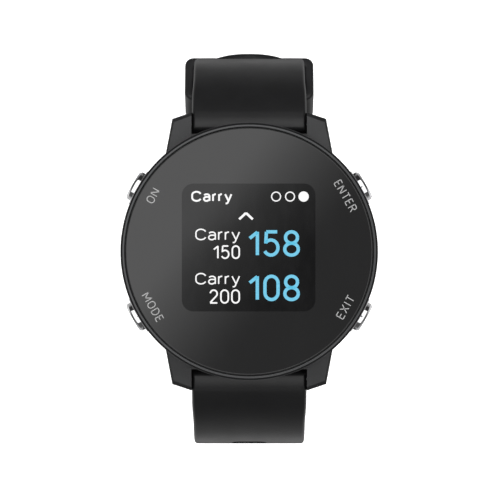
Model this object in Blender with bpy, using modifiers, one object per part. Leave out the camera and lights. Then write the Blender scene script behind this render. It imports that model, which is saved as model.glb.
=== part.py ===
"""A golf GPS watch with its strap fastened, standing dial up on the back of the strap loop.

+X is 3 o'clock, +Y is 12 o'clock and +Z is the way the dial faces. The origin lies on the floor, under the
middle of the dial. All sizes are in metres.
"""

import math

import bmesh
import bpy
from mathutils import Matrix, Vector

# Case, from its outer edge inwards
CASE_RADIUS = 0.0225
BEZEL_OVERHANG = 0.0006
CASE_WALL = 0.0025
BOTTOM_TAPER = 0.0022
BOTTOM_TAPER_HEIGHT = 0.0042
BOTTOM_RIM_LIFT = 0.0004
BOTTOM_RIM = 0.0010
FLANGE_WIDTH = 0.0045
FLANGE_THICKNESS = 0.0021
BUTTON_ROOF = 0.0008

# Bezel and lens
BEZEL_RIM = 0.00085
BEZEL_CHAMFER = 0.00035
LEDGE_THICKNESS = 0.00045
SPIGOT_WALL = 0.0005
SPIGOT_DEPTH = 0.0014
LENS_THICKNESS = 0.0012
LENS_CHAMFER = 0.0003
LENS_PROUD = 0.0001
LENS_GASKET_THICKNESS = 0.00025

# Case back
BACK_THICKNESS = 0.0017
BACK_CHAMFER = 0.0005
GASKET_CORD_RADIUS = 0.00036
GASKET_INSET = 0.0008
SCREW_HEAD_RADIUS = 0.0010
SCREW_HEAD_HEIGHT = 0.0007
SCREW_SHANK_RADIUS = 0.0006
SCREW_BITE = 0.0015
SCREW_SOCKET_RADIUS = 0.0005
CONTACT_RADIUS = 0.0008
CONTACT_HEAD_RADIUS = 0.0011
CONTACT_HEAD_THICKNESS = 0.0003
CONTACT_RECESS = 0.0001
CONTACT_PITCH = 0.00254

# Inside the case
BATTERY_WIDTH = 0.019
BATTERY_LENGTH = 0.018
BOARD_THICKNESS = 0.0008
BOARD_EDGE_GAP = 0.0005
SHIELD_WIDTH = 0.013
SHIELD_LENGTH = 0.008
SHIELD_HEIGHT = 0.0015
ANTENNA_SIDE = 0.010
ANTENNA_HEIGHT = 0.0024
PARTS_INSET = 0.0104
CARRIER_FLOOR = 0.0008
CARRIER_RIM = 0.0006
CARRIER_LEG_RADIUS = 0.0010
DISPLAY_WIDTH = 0.0246
DISPLAY_LENGTH = 0.0240
DISPLAY_THICKNESS = 0.0015
CORNER_RADIUS = 0.0020

# Push buttons
BUTTON_ANGLES = {"up": 150, "select": 30, "down": 210, "back": 330}
BUTTON_RADIUS = 0.00272
BUTTON_PROUD = 0.0012
BUTTON_EDGE = 0.00045
BUTTON_TRAVEL = 0.0006
STEM_RADIUS = 0.00085
STEM_GROOVE_RADIUS = 0.0005
TIP_RADIUS = 0.0006
SLEEVE_WALL = 0.0003
SLEEVE_FLOOR = 0.0005
SLEEVE_PROUD = 0.00015
SLEEVE_CUP_DEPTH = 0.00155
SLEEVE_NECK_WALL = 0.00055
SEAL_CORD_RADIUS = 0.00022
CLIP_RADIUS = 0.0011
CLIP_THICKNESS = 0.0003
SWITCH_WIDTH = 0.0036
SWITCH_DEPTH = 0.0024
SWITCH_HEIGHT = 0.0022

# Lugs and spring bars
BAR_OFFSET = 0.0225
BAR_HEIGHT = 0.0036
BAR_RADIUS = 0.0008
BAR_TIP_RADIUS = 0.00045
BAR_TIP_REACH = 0.0012
PIN_RADIUS = 0.00042
PIN_TRAVEL = 0.0014
PIN_LENGTH = 0.0086
KNOB_RADIUS = 0.00036
KNOB_PROUD = 0.0005
KNOB_INSET = 0.0040
LUG_REACH = 0.0020
LUG_WAIST = 0.0040
LUG_TIP_SLANT = 0.0013
LUG_THICKNESS = 0.0034
LUG_ROOT_WIDTH = 0.0046
LUG_TOP = 0.0024
LUG_BOTTOM = 0.0022
LUG_SLOPE = 0.40
LUG_BEVEL = 0.0005

# Strap loop, seen from the side
STRAP_WIDTH = 0.020
STRAP_THICKNESS = 0.0024
TAIL_THICKNESS = 0.0022
STRAP_END_RADIUS = 0.0017
STRAP_EASE = 0.012
STRAP_CHAMFER = 0.0004
SWING_RADIUS = 0.0605
SHOULDER_ANGLE = 25.0
LOOP_FLATTENING = 0.0073
HEEL_RADIUS = 0.024
TOE_RADIUS = 0.014
TAIL_TIP_ANGLE = 22.2
TAIL_TIP_LENGTH = 0.0095
SLOT_COUNT = 18
SLOT_PITCH = 0.0060
SLOT_LENGTH = 0.0064
SLOT_WIDTH = 0.0031
SLOTS_PAST_TONGUE = 3

# Keeper and buckle
KEEPER_LENGTH = 0.008
KEEPER_WALL = 0.00175
KEEPER_ANGLE = 27.0
KEEPER_CORNER = 0.0016
BUCKLE_ANGLE = 41.5
BUCKLE_BAR_RADIUS = 0.0006
BUCKLE_END_RADIUS = 0.0015
BUCKLE_EASE = 0.0060
BUCKLE_ARM = 0.0014
BUCKLE_THICKNESS = 0.0020
BUCKLE_CROSSBAR = 0.0028
BUCKLE_LENGTH = 0.0087
BUCKLE_CORNER = 0.0030
BUCKLE_EDGE = 0.0004
TONGUE_WIDTH = 0.0042
TONGUE_THICKNESS = 0.0011
TONGUE_EYE_RADIUS = 0.0013
TONGUE_OVERHANG = 0.0008
TONGUE_SHIFT = 0.0005

# Clearances
SEAT_GAP = 0.0002
RUN_GAP = 0.0003
BORE_GAP = 0.00015
HINGE_SIDE_GAP = 0.0006

# Facets
RING_STEPS = 48
SMALL_STEPS = 18
FINE_STEPS = 12
CORNER_STEPS = 4
CORD_SIDES = 6
ARC_STEP = math.radians(7)
SHARP_ANGLE = math.radians(35)
END_SHARES = (0.45, 0.8, 0.97)

# Radii that follow from the sizes above
case_outer = CASE_RADIUS - BEZEL_OVERHANG
cavity_radius = case_outer - CASE_WALL
bottom_radius = case_outer - BOTTOM_TAPER
recess_radius = bottom_radius - BOTTOM_RIM
back_radius = recess_radius - SEAT_GAP
flange_radius = recess_radius - FLANGE_WIDTH
gasket_radius = flange_radius + GASKET_INSET
groove_half = GASKET_CORD_RADIUS + BORE_GAP
screw_circle = (gasket_radius + groove_half + back_radius) / 2
spigot_outer = cavity_radius - SEAT_GAP
spigot_inner = spigot_outer - SPIGOT_WALL
carrier_outer = spigot_inner - SEAT_GAP
carrier_inner = carrier_outer - CARRIER_RIM
lens_seat = CASE_RADIUS - BEZEL_RIM
lens_radius = lens_seat - SEAT_GAP
board_radius = cavity_radius - BOARD_EDGE_GAP
parts_offset = board_radius - PARTS_INSET

# Heights above the case back
flange_bottom = BACK_THICKNESS + RUN_GAP
flange_top = flange_bottom + FLANGE_THICKNESS
board_bottom = flange_top + SEAT_GAP
board_top = board_bottom + BOARD_THICKNESS
button_height = board_top + SEAT_GAP + SWITCH_HEIGHT / 2
sleeve_radius = BUTTON_RADIUS + RUN_GAP + SLEEVE_WALL
wall_top = button_height + sleeve_radius + BORE_GAP + BUTTON_ROOF
carrier_bottom = max(
    button_height + CLIP_RADIUS + RUN_GAP,
    board_top + ANTENNA_HEIGHT + 2 * SEAT_GAP,
)
display_bottom = carrier_bottom + CARRIER_FLOOR + SEAT_GAP
display_top = display_bottom + DISPLAY_THICKNESS
bezel_bottom = wall_top + SEAT_GAP
ledge_top = max(bezel_bottom + LEDGE_THICKNESS, display_top)
lens_gasket_bottom = ledge_top + BORE_GAP
lens_bottom = lens_gasket_bottom + LENS_GASKET_THICKNESS + BORE_GAP
lens_top = lens_bottom + LENS_THICKNESS
bezel_top = lens_top - LENS_PROUD

# Distances along a button's axis, from the middle of the case
sleeve_face = CASE_RADIUS + SLEEVE_PROUD
sleeve_floor_outer = sleeve_face - SLEEVE_CUP_DEPTH
sleeve_floor_inner = sleeve_floor_outer - SLEEVE_FLOOR
sleeve_bore = STEM_RADIUS + BORE_GAP
sleeve_neck = sleeve_bore + SLEEVE_NECK_WALL
sleeve_inner_end = cavity_radius - BORE_GAP
cap_outer = CASE_RADIUS + BUTTON_PROUD
cap_inner = sleeve_floor_outer + BUTTON_TRAVEL + RUN_GAP
seal_place = (sleeve_floor_inner + sleeve_inner_end) / 2
clip_outer = sleeve_inner_end - BORE_GAP
clip_inner = clip_outer - CLIP_THICKNESS
switch_face = clip_inner - BUTTON_TRAVEL - RUN_GAP
tip_end = switch_face - BORE_GAP

# Places seen from the side, as distances towards 12 o'clock and heights over the spring bars
upper_bar = Vector((BAR_OFFSET, 0))
lower_bar = Vector((-BAR_OFFSET, 0))
bar_over_floor = SWING_RADIUS - LOOP_FLATTENING
case_back_height = bar_over_floor - BAR_HEIGHT
shoulder_angle = math.radians(SHOULDER_ANGLE)
strap_half = STRAP_THICKNESS / 2
tail_half = TAIL_THICKNESS / 2
tail_radius = SWING_RADIUS + strap_half + RUN_GAP + tail_half
tail_inner_radius = tail_radius - tail_half
tail_outer_radius = tail_radius + tail_half
buckle_angle = math.radians(BUCKLE_ANGLE)
buckle_bar_radius_place = SWING_RADIUS + strap_half - BUCKLE_END_RADIUS
lug_gap_half = STRAP_WIDTH / 2 + SEAT_GAP

parts = bpy.data.collections.new("golf_gps_watch")
cutters = bpy.data.collections.new("cutters")


def clear_scene():
    for obj in list(bpy.data.objects):
        bpy.data.objects.remove(obj, do_unlink=True)
    bpy.context.scene.collection.children.link(parts)
    bpy.context.scene.collection.children.link(cutters)


def material(name, colour, roughness, metallic=0.0):
    made = bpy.data.materials.new(name)
    made.use_nodes = True
    shader = made.node_tree.nodes["Principled BSDF"]
    shader.inputs["Base Color"].default_value = (*colour, 1.0)
    shader.inputs["Roughness"].default_value = roughness
    shader.inputs["Metallic"].default_value = metallic
    return made


def make_materials():
    return {
        "case": material("case_grey_black", (0.030, 0.031, 0.033), 0.42),
        "bezel": material("bezel_grey", (0.075, 0.077, 0.080), 0.35, 0.6),
        "glass": material("lens_glass", (0.020, 0.021, 0.023), 0.06),
        "rubber": material("strap_rubber", (0.017, 0.017, 0.018), 0.55),
        "seal": material("seal_rubber", (0.010, 0.010, 0.010), 0.70),
        "steel": material("polished_steel", (0.62, 0.62, 0.63), 0.16, 1.0),
        "dark_steel": material("dark_steel", (0.16, 0.16, 0.17), 0.30, 1.0),
        "gold": material("contact_gold", (0.80, 0.58, 0.24), 0.25, 1.0),
        "display": material("display_glass", (0.012, 0.013, 0.015), 0.12),
        "plastic": material("carrier_plastic", (0.05, 0.05, 0.055), 0.50),
        "board": material("board_green", (0.02, 0.11, 0.05), 0.45),
        "ceramic": material("antenna_ceramic", (0.62, 0.57, 0.48), 0.40),
        "battery": material("battery_foil", (0.55, 0.55, 0.53), 0.35, 0.4),
    }


def add_object(name, mesh, finish, parent, matrix=None):
    """A part of the watch, placed by its matrix under its parent."""
    obj = bpy.data.objects.new(name, mesh)
    parts.objects.link(obj)
    mesh.materials.append(finishes[finish])
    mesh.shade_smooth()
    mesh.set_sharp_from_angle(angle=SHARP_ANGLE)
    return set_place(obj, parent, matrix)


def set_place(obj, parent, matrix):
    """Puts an object under its parent. The matrix is in the frame that the parent or its pivot stands in."""
    shift = Vector()
    pivot = parent
    while pivot.parent:
        shift += pivot.location
        pivot = pivot.parent
    obj.parent = parent
    obj.matrix_local = Matrix.Translation(-shift) @ (matrix or Matrix())
    return obj


def add_empty(name, place, parent=None):
    empty = bpy.data.objects.new(name, None)
    parts.objects.link(empty)
    empty.parent = parent
    empty.location = place
    return empty


def add_cutter(name, mesh, parent, matrix=None):
    obj = bpy.data.objects.new(name, mesh)
    cutters.objects.link(obj)
    obj.hide_render = True
    obj.display_type = "WIRE"
    return set_place(obj, parent, matrix)


def combine(obj, other, operation="DIFFERENCE"):
    step = obj.modifiers.new(other.name, "BOOLEAN")
    step.operation = operation
    step.object = other
    step.solver = "EXACT"


def finish_mesh(name, bm):
    bmesh.ops.recalc_face_normals(bm, faces=bm.faces)
    mesh = bpy.data.meshes.new(name)
    bm.to_mesh(mesh)
    bm.free()
    return mesh


def turn(obj, steps):
    """Turns a profile in the XZ plane round the object's Z axis."""
    screw = obj.modifiers.new("turned", "SCREW")
    screw.axis = "Z"
    screw.angle = math.tau
    screw.steps = screw.render_steps = steps
    screw.use_merge_vertices = True
    screw.merge_threshold = 0.00001
    screw.use_smooth_shade = True
    return obj


def profile_mesh(name, points, closed=True):
    """Points are (radius, height). They run down the outer side first."""
    mesh = bpy.data.meshes.new(name)
    count = len(points)
    edges = [(i, i + 1) for i in range(count - 1)]
    if closed:
        edges.append((count - 1, 0))
    mesh.from_pydata([(radius, 0, height) for radius, height in points], edges, [])
    return mesh


def turned(name, points, finish, steps, parent, matrix=None, closed=True):
    obj = add_object(name, profile_mesh(name, points, closed), finish, parent, matrix)
    return turn(obj, steps)


def cutter_turned(name, points, steps, parent, matrix=None):
    obj = add_cutter(name, profile_mesh(name, points, closed=False), parent, matrix)
    return turn(obj, steps)


def rod_profile(radius, bottom, top):
    return [(0, top), (radius, top), (radius, bottom), (0, bottom)]


def ring_cord(radius, height, cord):
    """The round section of a seal ring."""
    steps = [-math.tau * i / CORD_SIDES for i in range(CORD_SIDES)]
    return [(radius + cord * math.cos(a), height + cord * math.sin(a)) for a in steps]


def prism_mesh(name, outline, bottom, top):
    """An outline in the XY plane, raised from one height to another."""
    bm = bmesh.new()
    face = bm.faces.new([bm.verts.new((x, y, bottom)) for x, y in outline])
    raised = bmesh.ops.extrude_face_region(bm, geom=[face])
    moved = [item for item in raised["geom"] if isinstance(item, bmesh.types.BMVert)]
    bmesh.ops.translate(bm, verts=moved, vec=(0, 0, top - bottom))
    return finish_mesh(name, bm)


def box_mesh(name, low, high):
    outline = [(low[0], low[1]), (high[0], low[1]), (high[0], high[1]), (low[0], high[1])]
    return prism_mesh(name, outline, low[2], high[2])


def rounded_outline(width, length, corner, limit=None, steps=CORNER_STEPS):
    """A rectangle with round corners, kept inside a circle where a limit is given."""
    points = []
    for quarter in range(4):
        side_x = 1 if quarter in (0, 3) else -1
        side_y = 1 if quarter < 2 else -1
        middle = Vector((side_x * (width / 2 - corner), side_y * (length / 2 - corner)))
        for i in range(steps + 1):
            angle = math.radians(90) * (quarter + i / steps)
            point = middle + corner * Vector((math.cos(angle), math.sin(angle)))
            if limit and point.length > limit:
                point *= limit / point.length
            points.append(point)
    return [point for i, point in enumerate(points) if point != points[i - 1]]


def along_x(place):
    """Turns an object's Z axis to +X, at a place given as (distance to 12 o'clock, height)."""
    return Matrix.Translation((0, place.x, place.y)) @ Matrix.Rotation(math.radians(90), 4, "Y")


def outward(angle, height):
    """Turns an object's Z axis to point out of the case at an angle, at a height over the case back."""
    lift = Matrix.Translation((0, 0, height))
    return lift @ Matrix.Rotation(angle, 4, "Z") @ Matrix.Rotation(math.radians(90), 4, "Y")


def make_mid_case(frame):
    """The middle of the case: a walled ring with a flange, four lugs and the bores for buttons and bars."""
    wall = [
        (case_outer, wall_top),
        (case_outer, BOTTOM_TAPER_HEIGHT),
        (bottom_radius, BOTTOM_RIM_LIFT),
        (recess_radius, BOTTOM_RIM_LIFT),
        (recess_radius, flange_bottom),
        (flange_radius, flange_bottom),
        (flange_radius, flange_top),
        (cavity_radius, flange_top),
        (cavity_radius, wall_top),
    ]
    case = turned("mid_case", wall, "case", RING_STEPS, frame)
    for side_y, word in ((1, "upper"), (-1, "lower")):
        notch_inner = BAR_OFFSET - STRAP_END_RADIUS - RUN_GAP
        low = (-lug_gap_half, notch_inner, -LUG_BOTTOM)
        high = (lug_gap_half, BAR_OFFSET + STRAP_END_RADIUS, bezel_bottom - BUTTON_ROOF)
        notch = box_mesh(f"strap_notch_{word}", low, high)
        turned_round = Matrix.Rotation(0 if side_y > 0 else math.pi, 4, "Z")
        combine(case, add_cutter(f"strap_notch_{word}", notch, frame, turned_round))
        for side_x, hand in ((1, "right"), (-1, "left")):
            combine(case, make_lug(f"lug_{word}_{hand}", side_x, side_y, frame), "UNION")
        reach = lug_gap_half + BAR_TIP_REACH + RUN_GAP
        hole = rod_profile(BAR_TIP_RADIUS + BORE_GAP, -reach, reach)
        place = along_x(Vector((side_y * BAR_OFFSET, BAR_HEIGHT)))
        combine(case, cutter_turned(f"bar_hole_{word}", hole, FINE_STEPS, frame, place))
    for word, angle in BUTTON_ANGLES.items():
        seat = sleeve_floor_inner - BORE_GAP
        far = cap_outer + CASE_WALL
        wide, narrow = sleeve_radius + BORE_GAP, sleeve_neck + BORE_GAP
        inside = cavity_radius - CASE_WALL
        step = [(0, far), (wide, far), (wide, seat), (narrow, seat), (narrow, inside), (0, inside)]
        place = outward(math.radians(angle), button_height)
        combine(case, cutter_turned(f"button_bore_{word}", step, SMALL_STEPS, frame, place))
    for number, place in enumerate(screw_places(), start=1):
        hole = rod_profile(SCREW_SHANK_RADIUS + BORE_GAP, 0, flange_bottom + SCREW_BITE + RUN_GAP)
        combine(case, cutter_turned(f"screw_hole_{number}", hole, FINE_STEPS, frame, place))
    return case


def make_lug(name, side_x, side_y, frame):
    """A lug: a prism whose top falls away towards its tip, with its upper edges bevelled."""
    tip = BAR_OFFSET + LUG_REACH
    root = (cavity_radius + case_outer) / 2
    inner, outer = lug_gap_half, lug_gap_half + LUG_THICKNESS
    widest = lug_gap_half + LUG_ROOT_WIDTH
    outline = [
        (inner, math.sqrt(root**2 - inner**2)),
        (widest, math.sqrt(root**2 - widest**2)),
        ((widest + outer) / 2, BAR_OFFSET - LUG_WAIST),
        (outer, tip - LUG_TIP_SLANT),
        (inner, tip),
    ]
    bottom = BAR_HEIGHT - LUG_BOTTOM
    bm = bmesh.new()
    base = [bm.verts.new((side_x * x, side_y * y, bottom)) for x, y in outline]
    raised = bmesh.ops.extrude_face_region(bm, geom=[bm.faces.new(base)])
    upper = [item for item in raised["geom"] if isinstance(item, bmesh.types.BMVert)]
    for vert in upper:
        vert.co.z = BAR_HEIGHT + LUG_TOP + LUG_SLOPE * (tip - abs(vert.co.y))
    bmesh.ops.recalc_face_normals(bm, faces=bm.faces)
    top_edges = [edge for edge in bm.edges if all(vert in upper for vert in edge.verts)]
    free = [edge for edge in top_edges if max(abs(vert.co.y) for vert in edge.verts) > root]
    bmesh.ops.bevel(bm, geom=free, offset=LUG_BEVEL, segments=1, affect="EDGES", profile=0.5)
    return add_cutter(name, finish_mesh(name, bm), frame)


def screw_places():
    for quarter in range(4):
        angle = math.radians(45 + 90 * quarter)
        yield Matrix.Translation((screw_circle * math.cos(angle), screw_circle * math.sin(angle), 0))


def contact_places():
    row = -(BATTERY_LENGTH / 2 + CONTACT_HEAD_RADIUS + 2 * SEAT_GAP)
    for number in range(4):
        yield Matrix.Translation(((number - 1.5) * CONTACT_PITCH, row, 0))


def make_bezel(frame):
    """The ring that holds the lens, with a ledge under it and a spigot down into the case."""
    spigot_end = bezel_bottom - SPIGOT_DEPTH
    ring = [
        (lens_seat, bezel_top),
        (CASE_RADIUS - BEZEL_CHAMFER, bezel_top),
        (CASE_RADIUS, bezel_top - BEZEL_CHAMFER),
        (CASE_RADIUS, bezel_bottom),
        (spigot_outer, bezel_bottom),
        (spigot_outer, spigot_end),
        (spigot_inner, spigot_end),
        (spigot_inner, ledge_top),
        (lens_seat, ledge_top),
    ]
    turned("bezel_ring", ring, "bezel", RING_STEPS, frame)
    seat = [
        (lens_radius, lens_gasket_bottom + LENS_GASKET_THICKNESS),
        (lens_radius, lens_gasket_bottom),
        (spigot_inner + SEAT_GAP, lens_gasket_bottom),
        (spigot_inner + SEAT_GAP, lens_gasket_bottom + LENS_GASKET_THICKNESS),
    ]
    turned("lens_gasket", seat, "seal", RING_STEPS, frame)
    glass = [
        (0, lens_top),
        (lens_radius - LENS_CHAMFER, lens_top),
        (lens_radius, lens_top - LENS_CHAMFER),
        (lens_radius, lens_bottom),
        (0, lens_bottom),
    ]
    turned("front_lens", glass, "glass", RING_STEPS, frame, closed=False)


def make_case_back(frame):
    """The cover under the case, with its seal, four screws and four charging contacts."""
    groove_depth = 2 * GASKET_CORD_RADIUS + BORE_GAP - RUN_GAP + BORE_GAP
    plate = [
        (0, BACK_THICKNESS),
        (gasket_radius - groove_half, BACK_THICKNESS),
        (gasket_radius - groove_half, BACK_THICKNESS - groove_depth),
        (gasket_radius + groove_half, BACK_THICKNESS - groove_depth),
        (gasket_radius + groove_half, BACK_THICKNESS),
        (back_radius, BACK_THICKNESS),
        (back_radius, BACK_CHAMFER),
        (back_radius - BACK_CHAMFER, 0),
        (0, 0),
    ]
    back = turned("case_back", plate, "case", RING_STEPS, frame, closed=False)
    cord_height = flange_bottom - BORE_GAP - GASKET_CORD_RADIUS
    cord = ring_cord(gasket_radius, cord_height, GASKET_CORD_RADIUS)
    turned("case_back_gasket", cord, "seal", RING_STEPS, frame)
    for number, place in enumerate(screw_places(), start=1):
        make_screw(number, place, back, frame)
    for number, place in enumerate(contact_places(), start=1):
        make_contact(number, place, back, frame)


def make_screw(number, place, back, frame):
    seat = SCREW_HEAD_HEIGHT + BORE_GAP
    wide, narrow = SCREW_HEAD_RADIUS + BORE_GAP, SCREW_SHANK_RADIUS + BORE_GAP
    above, below = BACK_THICKNESS + RUN_GAP, -RUN_GAP
    hole = [(0, above), (narrow, above), (narrow, seat), (wide, seat), (wide, below), (0, below)]
    combine(back, cutter_turned(f"screw_seat_{number}", hole, FINE_STEPS, frame, place))
    top = flange_bottom + SCREW_BITE
    socket = SCREW_HEAD_HEIGHT / 2
    body = [
        (0, top),
        (SCREW_SHANK_RADIUS, top),
        (SCREW_SHANK_RADIUS, SCREW_HEAD_HEIGHT),
        (SCREW_HEAD_RADIUS, SCREW_HEAD_HEIGHT),
        (SCREW_HEAD_RADIUS, BORE_GAP),
        (SCREW_SOCKET_RADIUS, BORE_GAP),
        (SCREW_SOCKET_RADIUS, BORE_GAP + socket),
        (0, BORE_GAP + socket),
    ]
    turned(f"case_screw_{number}", body, "steel", FINE_STEPS, frame, place, closed=False)


def make_contact(number, place, back, frame):
    hole = rod_profile(CONTACT_RADIUS + BORE_GAP, -RUN_GAP, BACK_THICKNESS + RUN_GAP)
    combine(back, cutter_turned(f"contact_hole_{number}", hole, FINE_STEPS, frame, place))
    head = BACK_THICKNESS + BORE_GAP
    pin = [
        (0, head + CONTACT_HEAD_THICKNESS),
        (CONTACT_HEAD_RADIUS, head + CONTACT_HEAD_THICKNESS),
        (CONTACT_HEAD_RADIUS, head),
        (CONTACT_RADIUS, head),
        (CONTACT_RADIUS, CONTACT_RECESS),
        (0, CONTACT_RECESS),
    ]
    turned(f"charge_contact_{number}", pin, "gold", FINE_STEPS, frame, place, closed=False)


def make_inside(frame):
    """The stack inside: battery, board with shield and antenna, then the display in its carrier."""
    battery_low = BACK_THICKNESS + SEAT_GAP
    outline = rounded_outline(BATTERY_WIDTH, BATTERY_LENGTH, CORNER_RADIUS, flange_radius - SEAT_GAP)
    battery = prism_mesh("battery", outline, battery_low, board_bottom - SEAT_GAP)
    add_object("battery", battery, "battery", frame)

    board = rod_profile(board_radius, board_bottom, board_top)
    turned("main_board", board, "board", RING_STEPS // 2, frame, closed=False)
    parts_low = board_top + SEAT_GAP
    shield = prism_mesh(
        "shield_can",
        rounded_outline(SHIELD_WIDTH, SHIELD_LENGTH, CORNER_RADIUS / 4, steps=1),
        parts_low,
        parts_low + SHIELD_HEIGHT,
    )
    add_object("shield_can", shield, "steel", frame, Matrix.Translation((0, -parts_offset, 0)))
    antenna = prism_mesh(
        "gps_antenna",
        rounded_outline(ANTENNA_SIDE, ANTENNA_SIDE, CORNER_RADIUS / 4, steps=1),
        parts_low,
        parts_low + ANTENNA_HEIGHT,
    )
    add_object("gps_antenna", antenna, "ceramic", frame, Matrix.Translation((0, parts_offset, 0)))

    floor_top = carrier_bottom + CARRIER_FLOOR
    cup = [
        (0, floor_top),
        (carrier_inner, floor_top),
        (carrier_inner, display_top),
        (carrier_outer, display_top),
        (carrier_outer, carrier_bottom),
        (0, carrier_bottom),
    ]
    carrier = turned("display_carrier", cup, "plastic", RING_STEPS // 2, frame, closed=False)
    leg = rod_profile(CARRIER_LEG_RADIUS, parts_low, floor_top - CARRIER_FLOOR / 2)
    leg_circle = carrier_inner - CARRIER_LEG_RADIUS
    for quarter in range(4):
        angle = math.radians(90 * quarter)
        place = Matrix.Translation((leg_circle * math.cos(angle), leg_circle * math.sin(angle), 0))
        combine(carrier, cutter_turned(f"carrier_leg_{quarter}", leg, FINE_STEPS, frame, place), "UNION")
    outline = rounded_outline(DISPLAY_WIDTH, DISPLAY_LENGTH, CORNER_RADIUS, carrier_inner - SEAT_GAP)
    panel = prism_mesh("display_panel", outline, display_bottom, display_top - BORE_GAP)
    add_object("display_panel", panel, "display", frame)


def make_button(word, angle, frame):
    """A push button: a cap on a stem, in a sleeve with a seal, held by a clip, facing its switch."""
    place = outward(math.radians(angle), button_height)
    groove_half_width = SEAL_CORD_RADIUS + BORE_GAP
    clip_groove = (clip_outer + BORE_GAP, clip_inner - BORE_GAP)
    stem = [
        (0, cap_outer),
        (BUTTON_RADIUS - BUTTON_EDGE, cap_outer),
        (BUTTON_RADIUS, cap_outer - BUTTON_EDGE),
        (BUTTON_RADIUS, cap_inner),
        (STEM_RADIUS, cap_inner),
        (STEM_RADIUS, seal_place + groove_half_width),
        (STEM_GROOVE_RADIUS, seal_place + groove_half_width),
        (STEM_GROOVE_RADIUS, seal_place - groove_half_width),
        (STEM_RADIUS, seal_place - groove_half_width),
        (STEM_RADIUS, clip_groove[0]),
        (STEM_GROOVE_RADIUS, clip_groove[0]),
        (STEM_GROOVE_RADIUS, clip_groove[1]),
        (TIP_RADIUS, clip_groove[1]),
        (TIP_RADIUS, tip_end),
        (0, tip_end),
    ]
    turned(f"button_{word}", stem, "steel", SMALL_STEPS, frame, place, closed=False)
    cord_radius = STEM_GROOVE_RADIUS + BORE_GAP / 2 + SEAL_CORD_RADIUS
    seal = ring_cord(cord_radius, seal_place, SEAL_CORD_RADIUS)
    turned(f"button_{word}_seal", seal, "seal", FINE_STEPS, frame, place)
    clip_bore = STEM_GROOVE_RADIUS + BORE_GAP / 2
    clip = [
        (CLIP_RADIUS, clip_outer),
        (CLIP_RADIUS, clip_inner),
        (clip_bore, clip_inner),
        (clip_bore, clip_outer),
    ]
    turned(f"button_{word}_clip", clip, "dark_steel", FINE_STEPS, frame, place)
    cup_radius = sleeve_radius - SLEEVE_WALL
    sleeve = [
        (cup_radius, sleeve_face),
        (sleeve_radius, sleeve_face),
        (sleeve_radius, sleeve_floor_inner),
        (sleeve_neck, sleeve_floor_inner),
        (sleeve_neck, sleeve_inner_end),
        (sleeve_bore, sleeve_inner_end),
        (sleeve_bore, sleeve_floor_outer),
        (cup_radius, sleeve_floor_outer),
    ]
    turned(f"button_{word}_sleeve", sleeve, "steel", SMALL_STEPS, frame, place)
    make_switch(word, place, frame)


def make_switch(word, place, frame):
    """A side switch on the board, with a well that the stem's tip presses into."""
    half_height, half_width = SWITCH_HEIGHT / 2, SWITCH_WIDTH / 2
    low = (-half_height, -half_width, switch_face - SWITCH_DEPTH)
    high = (half_height, half_width, switch_face)
    switch = add_object(f"switch_{word}", box_mesh(f"switch_{word}", low, high), "plastic", frame, place)
    floor = switch_face - BORE_GAP - BUTTON_TRAVEL - RUN_GAP
    well = rod_profile(TIP_RADIUS + BORE_GAP, floor, switch_face + RUN_GAP)
    combine(switch, cutter_turned(f"switch_well_{word}", well, FINE_STEPS, frame, place))


def arc(middle, radius, start, end):
    """Places along an arc, each with the direction that points out of the loop."""
    count = max(2, math.ceil(abs(end - start) / ARC_STEP))
    angles = [start + (end - start) * i / count for i in range(count + 1)]
    spokes = [Vector((math.cos(a), math.sin(a))) for a in angles]
    return [(middle + radius * spoke, spoke) for spoke in spokes]


def shoulder():
    """Middle and radius of the arc from a spring bar to where the strap runs round the other bar."""
    reach = SWING_RADIUS**2 - (2 * BAR_OFFSET) ** 2
    distance = reach / (2 * SWING_RADIUS - 4 * BAR_OFFSET * math.cos(shoulder_angle))
    spoke = Vector((math.cos(shoulder_angle), -math.sin(shoulder_angle)))
    return lower_bar + distance * spoke, SWING_RADIUS - distance


def upper_path():
    middle, radius = shoulder()
    start = upper_bar - middle
    rise = math.atan2(start.y, start.x)
    stations = arc(middle, radius, rise, -shoulder_angle)
    return stations + arc(lower_bar, SWING_RADIUS, -shoulder_angle, -buckle_angle)[1:]


def lower_path():
    middle, radius = shoulder()
    middle = Vector((-middle.x, middle.y))
    start = lower_bar - middle
    stations = arc(middle, radius, math.atan2(start.y, start.x), math.pi + shoulder_angle)
    floor = tail_half - bar_over_floor
    corner, spoke = stations[-1]
    drop = corner.y - floor - HEEL_RADIUS * (1 + spoke.y)
    tangent = Vector((-spoke.y, spoke.x))
    heel = corner + tangent * (drop / -tangent.y) - HEEL_RADIUS * spoke
    stations += arc(heel, HEEL_RADIUS, math.pi + shoulder_angle, 1.5 * math.pi)
    toe_reach = tail_radius - TOE_RADIUS
    toe_angle = math.asin((-floor - TOE_RADIUS) / toe_reach)
    toe = lower_bar + toe_reach * Vector((math.cos(toe_angle), -math.sin(toe_angle)))
    stations += arc(toe, TOE_RADIUS, -0.5 * math.pi, -toe_angle)
    tail_end = math.radians(TAIL_TIP_ANGLE)
    straight_end = tail_end + TAIL_TIP_LENGTH / tail_radius
    stations += arc(lower_bar, tail_radius, -toe_angle, -straight_end)[1:]
    return stations + arc(lower_bar, tail_radius, -straight_end, -tail_end)[1:]


def distances(stations):
    total = 0.0
    yield total
    for (before, _), (after, _) in zip(stations, stations[1:]):
        total += (after - before).length
        yield total


def smooth(share):
    share = min(1.0, max(0.0, share))
    return share * share * (3 - 2 * share)


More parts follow.
